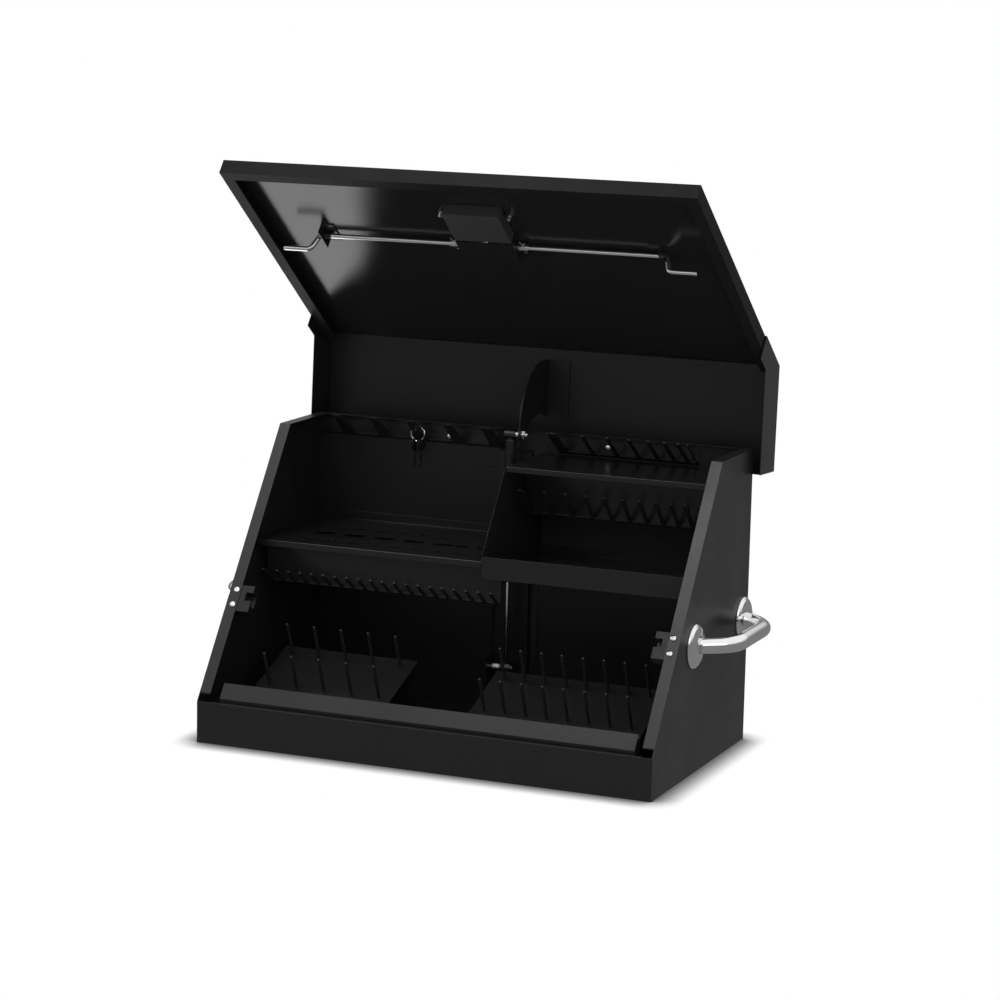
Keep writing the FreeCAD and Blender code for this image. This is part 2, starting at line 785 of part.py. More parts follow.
def perforated_shelf():
    """The left-hand shelf: three rows of holes, lips front and back, a notch for the spring."""
    body = new_body()
    under = "shelf_height - case_gauge"
    outline = [
        ("shelf_front", "shelf_height"),
        (f"{BACK_IN} - case_gauge", "shelf_height"),
        (f"{BACK_IN} - case_gauge", "shelf_height + shelf_back_lip"),
        (BACK_IN, "shelf_height + shelf_back_lip"),
        (BACK_IN, under),
        ("shelf_front + case_gauge", under),
        ("shelf_front + case_gauge", "shelf_height - shelf_lip"),
        ("shelf_front", "shelf_height - shelf_lip"),
    ]
    section = sketch_on(body, "YZ_Plane", [outline], offset=f"-{HALF_IN}")
    pad(body, section, f"divider_left + {HALF_IN}")
    half = "shelf_notch_width / 2"
    channel_right = "(channel_left + channel_width)"
    notch = [
        (f"spring_across - {half}", "shelf_notch_front"),
        (f"spring_across + {half}", "shelf_notch_front"),
        (f"spring_across + {half}", f"{BACK_IN} - channel_depth - face_gap"),
        (f"{channel_right} + face_gap", f"{BACK_IN} - channel_depth - face_gap"),
        (f"{channel_right} + face_gap", "case_depth + 1"),
        ("channel_left - face_gap", "case_depth + 1"),
        ("channel_left - face_gap", f"{BACK_IN} - channel_depth - face_gap"),
        (f"spring_across - {half}", f"{BACK_IN} - channel_depth - face_gap"),
    ]
    pocket(body, sketch_on(body, "XY_Plane", [notch]), None)
    slots = []
    holes = []
    for i in range(5):
        middle = f"(slot_first + {i} * slot_pitch)"
        reach = "(slot_length - slot_width) / 2"
        for side in (-1, 1):
            holes.append((f"{middle} + {side} * {reach}", "slot_row_depth", "slot_width / 2"))
        slots.append(
            [
                (f"{middle} - {reach}", "slot_row_depth - slot_width / 2"),
                (f"{middle} + {reach}", "slot_row_depth - slot_width / 2"),
                (f"{middle} + {reach}", "slot_row_depth + slot_width / 2"),
                (f"{middle} - {reach}", "slot_row_depth + slot_width / 2"),
            ]
        )
    pocket(body, sketch_on(body, "XY_Plane", slots), None)
    for i in range(2):
        across = f"slot_first + 4.6 * slot_pitch + {i} * round_hole_pitch"
        holes.append((across, "slot_row_depth", "round_hole_radius"))
    for i in range(9):
        across = f"slot_first + {i} * small_hole_pitch"
        holes.append((across, "front_hole_row", "small_hole_radius"))
    for i in range(6):
        across = f"slot_first + {i} * small_hole_pitch"
        holes.append((across, "back_hole_row", "small_hole_radius"))
    through = [
        prism(FEW, radius, "3 * case_gauge", (across, deep, "shelf_height - 2 * case_gauge"))
        for across, deep, radius in holes
    ]
    keep(cut(body, *through), "perforated_shelf", CASE)


def divider():
    """The upright wall left of the tray, its front edge parallel to the case's edge."""
    body = new_body()
    lean = f"(upper_shelf_height - tray_height - tray_wall) * {RUN} / {RISE}"
    outline = [
        ("tray_front", "tray_height"),
        (BACK_IN, "tray_height"),
        (BACK_IN, "upper_shelf_height"),
        (f"tray_front + {lean}", "upper_shelf_height"),
        ("tray_front", "tray_height + tray_wall"),
    ]
    pad(body, sketch_on(body, "YZ_Plane", [outline]), "case_gauge")
    keep(body, "divider", CASE, Vector(size("divider_left"), 0, 0))


def side_tray():
    """The right-hand tray: a floor with a front wall and a lip up the rear wall."""
    body = new_body()
    outline = [
        ("tray_front", "tray_height"),
        ("tray_front", "tray_height + tray_wall"),
        ("tray_front + case_gauge", "tray_height + tray_wall"),
        ("tray_front + case_gauge", "tray_height + case_gauge"),
        (f"{BACK_IN} - case_gauge", "tray_height + case_gauge"),
        (f"{BACK_IN} - case_gauge", "tray_height + shelf_back_lip"),
        (BACK_IN, "tray_height + shelf_back_lip"),
        (BACK_IN, "tray_height"),
    ]
    left = "(divider_left + case_gauge)"
    section = sketch_on(body, "YZ_Plane", [outline], offset=left)
    pad(body, section, f"{HALF_IN} - {left}")
    keep(body, "side_tray", CASE)


def upper_shelf():
    """The narrow shelf above the tray, with a lip folded down at the front."""
    body = new_body()
    lean = f"(upper_shelf_height - tray_height - tray_wall) * {RUN} / {RISE}"
    front = f"(tray_front + {lean})"
    outline = [
        (front, "upper_shelf_height - upper_shelf_lip"),
        (front, "upper_shelf_height"),
        (BACK_IN, "upper_shelf_height"),
        (BACK_IN, "upper_shelf_height - case_gauge"),
        (f"{front} + case_gauge", "upper_shelf_height - case_gauge"),
        (f"{front} + case_gauge", "upper_shelf_height - upper_shelf_lip"),
    ]
    left = "(divider_left + case_gauge)"
    section = sketch_on(body, "YZ_Plane", [outline], offset=left)
    pad(body, section, f"{HALF_IN} - {left}")
    keep(body, "upper_shelf", CASE)


def bottom_tray():
    """The long tray on the floor. Its front wall leans back along the case's edge."""
    body = new_body()
    floor = "case_gauge"
    lip_y = f"(tray_lip_front + tray_lip_length * {COS})"
    lip_z = f"(tray_lip_base + tray_lip_length * {SIN})"
    outline = [
        ("tray_lip_front", floor),
        ("tray_lip_front", "tray_lip_base"),
        (lip_y, lip_z),
        (f"{lip_y} + case_gauge * {SIN}", f"{lip_z} - case_gauge * {COS}"),
        ("tray_lip_front + case_gauge", "tray_lip_base - case_gauge / 2"),
        ("tray_lip_front + case_gauge", f"{floor} + case_gauge"),
        ("tray_depth - case_gauge", f"{floor} + case_gauge"),
        ("tray_depth - case_gauge", f"{floor} + tray_back_lip"),
        ("tray_depth", f"{floor} + tray_back_lip"),
        ("tray_depth", floor),
    ]
    section = sketch_on(body, "YZ_Plane", [outline], offset="-tray_half_length")
    pad(body, section, "2 * tray_half_length")
    keep(body, "bottom_tray", CASE)


def peg_rack(side, first, pitch, count):
    """A sloping plate on legs with two rows of pegs square to it."""
    body = new_body()
    rise = "(peg_plate_depth * tan(peg_plate_angle))"
    floor = "(2 * case_gauge)"
    near, far = "peg_plate_front", "(peg_plate_front + peg_plate_depth)"
    drop = "(case_gauge / cos(peg_plate_angle))"
    slip = "(case_gauge * tan(peg_plate_angle))"
    outline = [
        (near, floor),
        (near, "peg_plate_height"),
        (far, f"peg_plate_height + {rise}"),
        (far, floor),
        (f"{far} - case_gauge", floor),
        (f"{far} - case_gauge", f"peg_plate_height + {rise} - {drop} - {slip}"),
        (f"{near} + case_gauge", f"peg_plate_height - {drop} + {slip}"),
        (f"{near} + case_gauge", floor),
    ]
    left = f"{first} - peg_plate_margin"
    length = f"{pitch} * ({count} - 1) + 2 * peg_plate_margin"
    pad(body, sketch_on(body, "YZ_Plane", [outline], offset=left), length)
    keep(body, f"{side}_peg_rack", CASE)

    plate = CASE * Placement(
        Vector(0, size("peg_plate_front"), size("peg_plate_height")),
        Rotation(along_x, size("peg_plate_angle")),
    )
    pegs = []
    for row in range(2):
        for i in range(int(size(count))):
            at = (f"{first} + {i} * {pitch}", f"peg_row_front + {row} * peg_row_gap")
            pegs.append(prism(FEW, "peg_radius", "peg_length", (*at, "0")))
    keep(gather(*pegs), f"{side}_rack_pegs", plate)


def catch(side, sign):
    """A block behind the edge flange: a rod end drops in at its mouth and turns under its lip."""
    flange_back = "(-case_gauge)"
    outer = HALF_IN
    low = "(catch_along - catch_height / 2)"
    width = f"({outer} - catch_inner)"
    left = "catch_inner" if sign > 0 else f"-{outer}"
    at = (left, low, f"{flange_back} - catch_thickness")
    body = block(width, "catch_height", "catch_thickness", at)
    rod_low = "(latch_along - latch_rod_radius)"
    under_lip = f"({rod_low} - latch_rod_step * sin(latch_turn) - catch_play)"
    lip_end = f"({rod_low} - catch_play)"
    mouth_end = "(latch_along + latch_rod_radius + catch_drift)"
    slot_width = "(latch_rod_end - catch_inner + 5)"
    slot_left = "catch_inner - 1" if sign > 0 else f"-catch_inner - {slot_width} + 1"
    rod_centre = f"({SHAFT_OFF} - latch_rod_step)"
    top = f"({rod_centre} + latch_rod_radius + catch_play + catch_headroom)"
    bottom = f"({rod_centre} - latch_rod_radius - catch_play)"
    chamber_at = (slot_left, under_lip, bottom)
    chamber = block(slot_width, f"{mouth_end} - {under_lip}", f"{top} - {bottom}", chamber_at)
    mouth_at = (slot_left, lip_end, bottom)
    mouth = block(slot_width, f"{mouth_end} - {lip_end}", f"5 - {bottom}", mouth_at)
    holes = []
    for end in (-1, 1):
        across = f"{sign} * catch_screw_across"
        along = f"catch_along + {end} * catch_screw_gap / 2"
        start = (across, along, f"{flange_back} - catch_thickness - 1")
        holes.append(rod("screw_radius", "catch_thickness + 2", start))
    keep(cut(body, chamber, mouth, *holes), f"{side}_catch", SLOPE)


def catch_screws():
    """Four button-head screws through the flange into the catches."""
    screws = []
    for sign in (-1, 1):
        for end in (-1, 1):
            across = f"{sign} * catch_screw_across"
            along = f"catch_along + {end} * catch_screw_gap / 2"
            length = "(catch_thickness - 4)"
            shank = prism(FEW, "screw_radius", length, (across, along, f"-{length}"))
            head = prism(FEW, "screw_head_radius", "screw_head_height", (across, along, "0"))
            recess = prism(6, "1.7", "screw_head_height", (across, along, "screw_head_height / 2"))
            screws.append(cut(join(shank, head), recess))
    keep(gather(*screws), "catch_screws", SLOPE)


def handle(side, sign):
    """A bowed tube between two domed flanges on the side wall, bolted from inside."""
    face = size("case_width") / 2
    middle = size("handle_centre")
    half_span = size("handle_span") / 2
    half_grip = size("handle_grip") / 2
    height = size("handle_height")
    out = face + size("handle_reach")
    foot = half_span - size("handle_foot")
    points = [
        (sign * (face + 3), middle - foot, height),
        (sign * out, middle - half_grip, height),
        (sign * out, middle + half_grip, height),
        (sign * (face + 3), middle + foot, height),
    ]
    tube = bent_rod(points, size("handle_radius"), size("handle_bend"), MANY)
    radius = size("handle_flange_radius")
    rise = size("handle_flange_height")
    rim = size("handle_flange_rim")
    domes = []
    feet = []
    for end in (-1, 1):
        profile = [(0, 1), (rim, 1), (rise * 0.8, 0.78), (rise, 0.45)]
        rings = []
        for deep, share in profile:
            angles = [2 * math.pi * i / MANY for i in range(MANY + 1)]
            out = radius * share
            ring = [Vector(sign * (face + deep), out * math.cos(a), out * math.sin(a)) for a in angles]
            rings.append(Part.makePolygon(ring))
        dome = Part.makeLoft(rings, True, True)
        centre = Vector(sign * face, middle + end * half_span, height)
        dome.translate(Vector(0, centre.y, centre.z))
        bolt, depth = size("handle_bolt_radius"), size("handle_bolt_depth")
        domes.append(dome.cut(Part.makeCylinder(bolt, depth, centre, Vector(sign, 0, 0))))
        feet += [dome, Part.makeCylinder(radius, radius, centre, Vector(-sign, 0, 0))]
    solid_feature(tube.cut(feet), f"{side}_handle", CASE)
    solid_feature(Part.makeCompound(domes), f"{side}_handle_flanges", CASE)


def handle_bolts():
    """Four hexagon bolts through the side walls into the handle flanges."""
    bolts = []
    for sign in (-1, 1):
        for end in (-1, 1):
            along = f"handle_centre + {end} * handle_span / 2"
            length = "(handle_bolt_depth + case_gauge)"
            head_height = "handle_bolt_head_height"
            inner = HALF_IN if sign > 0 else f"-{HALF_IN} - {length}"
            shank = prism(FEW, "handle_bolt_radius", length, (inner, along, "handle_height"), "x")
            head_at = f"{HALF_IN} - {head_height}" if sign > 0 else f"-{HALF_IN}"
            head = prism(6, "handle_bolt_head", head_height, (head_at, along, "handle_height"), "x")
            bolts.append(join(shank, head))
    keep(gather(*bolts), "handle_bolts", CASE)


def hinge():
    """A long pin hinge: each leaf carries every other knuckle, on one pin."""
    axis_y = "(case_depth + hinge_behind)"
    start = "(-hinge_length / 2)"
    count = int(size("hinge_knuckles"))
    pitch = "(hinge_length / hinge_knuckles)"
    clear = "(hinge_barrel_radius + hinge_gap)"
    leaf_at = (start, "case_depth", f"hinge_height - {clear} - hinge_leaf")
    case_side = [block("hinge_length", "hinge_gauge", "hinge_leaf", leaf_at)]
    lid_face = f"({axis_y} + hinge_behind - hinge_gauge)"
    lid_at = (start, lid_face, f"hinge_height + {clear}")
    lid_side = [block("hinge_length", "hinge_gauge", "hinge_leaf", lid_at)]
    for i in range(count):
        length = f"({pitch} - hinge_gap)"
        left = f"{start} + {i} * {pitch} + hinge_gap / 2"
        barrel = rod("hinge_barrel_radius", length, (left, axis_y, "hinge_height"), "x")
        if i % 2 == 0:
            web_at = (left, "case_depth + hinge_gap", f"hinge_height - {clear} - 1")
            web = block(length, "hinge_gauge - hinge_gap", f"{clear} + 1", web_at)
            case_side += [barrel, web]
        else:
            web = block(length, "hinge_gauge - hinge_gap", f"{clear} + 1", (left, lid_face, "hinge_height"))
            lid_side += [barrel, web]
    bore = "hinge_pin_radius + hinge_fit"
    for label, pieces, frame in (("hinge_leaf_case", case_side, CASE), ("hinge_leaf_lid", lid_side, LID)):
        hole = rod(bore, "hinge_length + 2", (f"{start} - 1", axis_y, "hinge_height"), "x")
        keep(cut(join(*pieces), hole), label, frame)
    pin = rod("hinge_pin_radius", "hinge_length", (start, axis_y, "hinge_height"), "x")
    keep(gather(pin), "hinge_pin", CASE)


def lid_front_panel():
    """The sloping pan of the lid: a face, three side walls and an inward return."""
    low = "(-lid_tip_overhang)"
    seat = "(lid_rise - lid_pan_depth)"
    full = "(2 * lid_half_width)"
    pan_at = ("-lid_half_width", low, seat)
    pan = block(full, "lid_pan_length", "lid_pan_depth", pan_at)
    inner_half = "(lid_half_width - lid_gauge)"
    inner_at = (f"-{inner_half}", f"{low} + lid_gauge", f"{seat} + lid_gauge")
    inner = block(f"2 * {inner_half}", "lid_pan_length", "lid_pan_depth - 2 * lid_gauge", inner_at)
    mouth_half = "(lid_half_width - lid_return)"
    mouth_at = (f"-{mouth_half}", f"{low} + lid_return", f"{seat} - 1")
    mouth = block(f"2 * {mouth_half}", "lid_pan_length", "lid_gauge + 2", mouth_at)
    end_at = (f"-{inner_half}", "lid_return_length", f"{seat} - 1")
    end = block(f"2 * {inner_half}", "lid_pan_length", "lid_gauge + 2", end_at)
    hole_half = "(dish_half_width + face_gap)"
    hole_at = (f"-{hole_half}", "dish_low - face_gap", "lid_rise - 2 * lid_gauge")
    hole = block(f"2 * {hole_half}", "dish_length + 2 * face_gap", "lid_gauge * 3", hole_at)
    bolts = []
    for sign in (-1, 1):
        start = (f"{sign} * bolt_across", "bolt_along", "lid_rise - 3 * lid_gauge")
        bolts.append(rod("bolt_radius", "lid_gauge * 4", start))
    keep(cut(pan, inner, mouth, end, hole, *bolts), "lid_front_panel", LID_SLOPE)


def lid_rear_cover():
    """The top of the lid: it laps the pan past the knee and has a cheek down each side."""
    body = new_body()

    def on_slope(along, off):
        return (
            f"(({along}) * {COS} - ({off}) * {SIN})",
            f"(front_height + ({along}) * {SIN} + ({off}) * {COS})",
        )

    def knee(height, off):
        along = f"(({height}) - front_height - ({off}) * {COS}) / {SIN}"
        return on_slope(along, off)

    top = "(case_height + lid_rise)"
    rear_in = "(case_depth + 2 * hinge_behind)"
    rear = f"({rear_in} + lid_gauge)"
    knee_along = f"(({top} - front_height - lid_rise * {COS}) / {SIN})"
    lap = f"({knee_along} - cover_lap)"
    low = f"({top} - cover_cheek_drop)"
    inner_off = "(lid_rise + lid_gauge - cover_front_depth)"
    corner_along = f"(({low} - front_height - {inner_off} * {COS}) / {SIN})"
    outline = [
        (rear, top),
        knee(top, "lid_rise + lid_gauge"),
        on_slope(lap, "lid_rise + lid_gauge"),
        on_slope(lap, inner_off),
        on_slope(corner_along, inner_off),
        (rear, low),
    ]
    cheek_half = "(lid_half_width + cover_side_gap + lid_gauge)"
    section = sketch_on(body, "YZ_Plane", [outline], offset=f"-{cheek_half}")
    pad(body, section, f"2 * {cheek_half}")
    under = f"({top} - lid_gauge)"
    hollow = [
        (rear_in, under),
        knee(under, "lid_rise"),
        on_slope(f"{lap} - 5", "lid_rise"),
        on_slope(f"{lap} - 5", f"{inner_off} - 5"),
        (f"{rear} + 5", f"{low} - 40"),
        (f"{rear} + 5", "hinge_height"),
        (rear_in, "hinge_height"),
    ]
    inside = sketch_on(body, "YZ_Plane", [hollow], offset=f"{cheek_half} - lid_gauge")
    pocket(body, inside, f"2 * ({cheek_half} - lid_gauge)")
    keep(body, "lid_rear_cover", LID)


def lid_arm():
    """The curved arm that the gas spring lifts, folded from its base on the lid."""
    top = size("case_height") + size("lid_rise") - size("lid_gauge")
    gauge = size("arm_gauge")
    pivot = Vector(0, size("arm_pivot_depth"), size("arm_pivot_height"))
    boss = size("arm_boss_radius")
    near = size("arm_base_front")
    far = near + size("arm_base_length")
    front_dip = pivot + Vector(0, -boss * 0.6, -boss * 0.8)
    rear_dip = pivot + Vector(0, boss * 0.6, boss * 0.8)
    bottom = pivot + Vector(0, boss * 0.8, -boss * 0.6)
    front_middle = (Vector(0, near, top) + front_dip) / 2 + Vector(0, -0.6, -0.8) * size("arm_bulge")
    rear_middle = Vector(0, far - 6, (top + pivot.z) / 2 + 2)
    edges = [
        Part.LineSegment(Vector(0, far, top), Vector(0, near, top)).toShape(),
        Part.Arc(Vector(0, near, top), front_middle, front_dip).toShape(),
        Part.Arc(front_dip, bottom, rear_dip).toShape(),
        Part.Arc(rear_dip, rear_middle, Vector(0, far, top)).toShape(),
    ]
    plate = Part.Face(Part.Wire(edges)).extrude(Vector(gauge, 0, 0))
    plate.translate(Vector(size("arm_plane") - gauge / 2, 0, 0))
    left = size("arm_plane") - gauge / 2
    base = Part.makeBox(size("arm_base_width"), far - near, gauge, Vector(left, near, top - gauge))
    hole_at = Vector(left - 1, pivot.y, pivot.z)
    hole = Part.makeCylinder(size("spring_stud_radius"), gauge + 2, hole_at, along_x)
    solid_feature(plate.fuse(base).removeSplitter().cut(hole), "lid_arm", LID)


def upper_stud():
    """The stud through the arm. Its face stops just beside the spring's upper eye."""
    at_y, at_z = "arm_pivot_depth", "arm_pivot_height"
    eye_face = "(spring_across + spring_eye_width / 2)"
    arm_left = "(arm_plane - arm_gauge / 2)"
    collar_at = (f"{eye_face} + open_pivot_gap", at_y, at_z)
    collar_length = f"{arm_left} - {eye_face} - open_pivot_gap"
    collar = prism(FEW, "spring_stud_radius + 2", collar_length, collar_at, "x")
    thread = prism(FEW, "spring_stud_radius", "arm_gauge + 10", (arm_left, at_y, at_z), "x")
    nut = prism(6, "spring_stud_radius + 3.5", "6", (f"{arm_left} + arm_gauge", at_y, at_z), "x")
    keep(join(collar, thread, nut), "upper_stud", LID)


def gas_spring():
    """The gas spring at full length: rod down, tube up, an eye at each end."""
    x, y, foot = "spring_across", "spring_depth", "spring_foot_height"
    eye_left = f"{x} - spring_eye_width / 2"
    head = f"({foot} + spring_length)"
    tube_top = f"({head} - spring_eye_radius)"
    tube_low = f"({tube_top} - spring_tube_length)"
    tube = rod("spring_tube_radius", "spring_tube_length", (x, y, tube_low))
    depth = "spring_rod_overlap + spring_stroke + 5"
    bore = rod("spring_rod_radius + spring_rod_fit", depth, (x, y, tube_low))
    keep(cut(tube, bore), "gas_spring_tube", CASE)
    upper = rod("spring_eye_radius", "spring_eye_width", (eye_left, y, head), "x")
    neck = rod("spring_eye_radius * 0.7", "spring_eye_radius", (x, y, tube_top))
    hole = rod("spring_stud_radius + spring_stud_fit", "spring_eye_width + 2", (f"{eye_left} - 1", y, head), "x")
    keep(cut(join(upper, neck), hole), "gas_spring_upper_eye", CASE)

    rod_low = f"({foot} + spring_eye_radius)"
    rod_length = f"{tube_low} + spring_rod_overlap - {rod_low}"
    keep(gather(rod("spring_rod_radius", rod_length, (x, y, rod_low))), "gas_spring_rod", CASE)
    lower = rod("spring_eye_radius", "spring_eye_width", (eye_left, y, foot), "x")
    lower_neck = rod("spring_eye_radius * 0.7", "spring_eye_radius", (x, y, foot))
    lower_hole = rod("spring_stud_radius + spring_stud_fit", "spring_eye_width + 2", (f"{eye_left} - 1", y, foot), "x")
    keep(cut(join(lower, lower_neck), lower_hole), "gas_spring_lower_eye", CASE)


def foot_bracket():
    """The angle on the floor that holds the spring's lower stud, left of the eye."""
    plate_left = "(spring_across - spring_eye_width / 2 - foot_bracket_gap)"
    near = "(spring_depth - foot_bracket_depth / 2)"
    floor = "case_gauge"
    upright = block("foot_bracket_gauge", "foot_bracket_depth", "foot_bracket_top", (plate_left, near, floor))
    base_at = (f"{plate_left} - foot_bracket_base", near, floor)
    base = block("foot_bracket_base + foot_bracket_gauge", "foot_bracket_depth", "foot_bracket_gauge", base_at)
    hole_at = (f"{plate_left} - 1", "spring_depth", "spring_foot_height")
    hole = rod("spring_stud_radius", "foot_bracket_gauge + 2", hole_at, "x")
    keep(cut(join(upright, base), hole), "foot_bracket", CASE)
    nut_left = f"({plate_left} - 6)"
    stud_end = "(spring_across + spring_eye_width / 2 + 2)"
    stud_at = (nut_left, "spring_depth", "spring_foot_height")
    stud = rod("spring_stud_radius", f"{stud_end} - {nut_left}", stud_at, "x")
    nut = prism(6, "spring_stud_radius + 3.5", "6", stud_at, "x")
    collar_at = (f"{plate_left} + foot_bracket_gauge", "spring_depth", "spring_foot_height")
    collar_length = "foot_bracket_gap - foot_bracket_gauge - face_gap"
    collar = prism(FEW, "spring_stud_radius + 2", collar_length, collar_at, "x")
    keep(join(stud, nut, collar), "lower_stud", CASE)


def latch_shaft():
    """The turning shaft between the couplings. Its lever is tipped in, as the paddle holds it."""
    shaft_at = ("-latch_shaft_half", "latch_along", SHAFT_OFF)
    shaft = rod("latch_shaft_radius", "2 * latch_shaft_half", shaft_at, "x")
    lever = doc.addObject("Part::Box", "Lever")
    bind(lever, Length="latch_lever_width", Width="latch_lever_length", Height="latch_lever_gauge")
    corner = Vector(
        -size("latch_lever_width") / 2, -size("latch_lever_length"), -size("latch_lever_gauge") / 2
    )
    axis = Vector(0, size("latch_along"), size("lid_rise") - size("latch_below"))
    turned = Placement(axis, Rotation(along_x, size("latch_turn")))
    lever.Placement = turned * Placement(corner, Rotation())
    keep(join(shaft, lever), "latch_shaft", LID_SLOPE)


def couplings():
    """A sleeve at each end of the shaft, pinned to its rod by a split pin."""
    sleeves = []
    pins = []
    for sign in (-1, 1):
        left = "latch_shaft_half" if sign > 0 else "-latch_shaft_half - coupling_length"
        middle = f"{sign} * (latch_shaft_half + coupling_length / 2)"
        sleeve = rod("coupling_radius", "coupling_length", (left, "latch_along", SHAFT_OFF), "x")
        bore_at = (f"{left} - 1", "latch_along", SHAFT_OFF)
        bore = rod("latch_rod_radius", "coupling_length + 2", bore_at, "x")
        pin_at = (middle, "latch_along - coupling_radius - 7", SHAFT_OFF)
        hole = rod("cotter_radius", "2 * coupling_radius + 14", pin_at, "y")
        sleeves.append(cut(sleeve, bore, hole))
        pin = prism(FEW, "cotter_radius", "2 * coupling_radius + 10", pin_at, "y")
        eye_y = "latch_along + coupling_radius + 3 + 3 * cotter_radius"
        eye_z = f"{SHAFT_OFF} - cotter_radius"
        eye = prism(FEW, "4 * cotter_radius", "2 * cotter_radius", (middle, eye_y, eye_z))
        gap_at = (middle, eye_y, f"{eye_z} - 1")
        gap = prism(FEW, "2 * cotter_radius", "2 * cotter_radius + 2", gap_at)
        pins.append(cut(join(pin, eye), gap))
    keep(gather(*sleeves), "rod_couplings", LID_SLOPE)
    keep(gather(*pins), "split_pins", LID_SLOPE)


def latch_rod(side, sign):
    """A round rod stepped inwards near its end, so that the end reaches into the catch."""
    along = size("latch_along")
    off = size("lid_rise") - size("latch_below")
    deep = off - size("latch_rod_step")
    knee_x = size("latch_rod_straight")
    points = [
        (sign * size("latch_shaft_half"), along, off),
        (sign * knee_x, along, off),
        (sign * (knee_x + size("latch_rod_slant")), along, deep),
        (sign * size("latch_rod_end"), along, deep),
    ]
    shape = bent_rod(points, size("latch_rod_radius"), size("latch_rod_bend"), FEW)
    middle = sign * (size("latch_shaft_half") + size("coupling_length") / 2)
    hole = Part.makeCylinder(
        size("cotter_radius"), 40, Vector(middle, along - 20, off), Vector(0, 1, 0)
    )
    solid_feature(shape.cut(hole), f"{side}_latch_rod", LID_SLOPE)


def latch_bracket():
    """The channel that carries the latch shaft inside the lid."""
    half = "latch_bracket_half"
    gauge = "latch_bracket_gauge"
    face = "(lid_rise - lid_gauge)"
    low = "(latch_along - latch_bracket_height / 2)"
    outer_at = (f"-{half}", low, f"{face} - latch_bracket_depth")
    outer = block(f"2 * {half}", "latch_bracket_height", "latch_bracket_depth", outer_at)
    inner_at = (f"-{half} + {gauge}", f"{low} - 1", f"{face} - latch_bracket_depth + {gauge}")
    inner = block(f"2 * ({half} - {gauge})", "latch_bracket_height + 2", "latch_bracket_depth", inner_at)
    feet_at = (f"-{half} - latch_bracket_foot", low, f"{face} - {gauge}")
    feet = block(f"2 * ({half} + latch_bracket_foot)", "latch_bracket_height", gauge, feet_at)
    bore_at = (f"-{half} - 1", "latch_along", SHAFT_OFF)
    bore = rod("latch_shaft_radius + latch_fit", f"2 * {half} + 2", bore_at, "x")
    keep(cut(join(outer, feet), inner, bore), "latch_bracket", LID_SLOPE)


def rod_guide(side, sign):
    """An angle on the lid with a hole that the rod turns in."""
    face = "(lid_rise - lid_gauge)"
    low = "(latch_along - guide_height / 2)"
    bottom = f"({SHAFT_OFF} - guide_below)"
    left = "guide_across" if sign > 0 else "-guide_across - guide_gauge"
    upright = block("guide_gauge", "guide_height", f"{face} - {bottom}", (left, low, bottom))
    foot_left = "guide_across - guide_foot" if sign > 0 else "-guide_across - guide_gauge"
    foot_at = (foot_left, low, f"{face} - guide_gauge")
    foot = block("guide_foot + guide_gauge", "guide_height", "guide_gauge", foot_at)
    bore_at = (f"{left} - 1", "latch_along", SHAFT_OFF)
    bore = rod("latch_rod_radius + latch_fit", "guide_gauge + 2", bore_at, "x")
    keep(cut(join(upright, foot), bore), f"{side}_rod_guide", LID_SLOPE)


def return_spring():
    """The close-wound coil beside the left guide that turns the rods back."""
    wire_out = "(return_spring_radius + return_spring_wire)"
    wire_in = "(return_spring_radius - return_spring_wire)"
    coil_at = ("-guide_across", "latch_along", SHAFT_OFF)
    coil = rod(wire_out, "return_spring_length", coil_at, "x")
    bore_at = ("-guide_across - 1", "latch_along", SHAFT_OFF)
    bore = rod(wire_in, "return_spring_length + 2", bore_at, "x")
    keep(cut(coil, bore), "return_spring", LID_SLOPE)


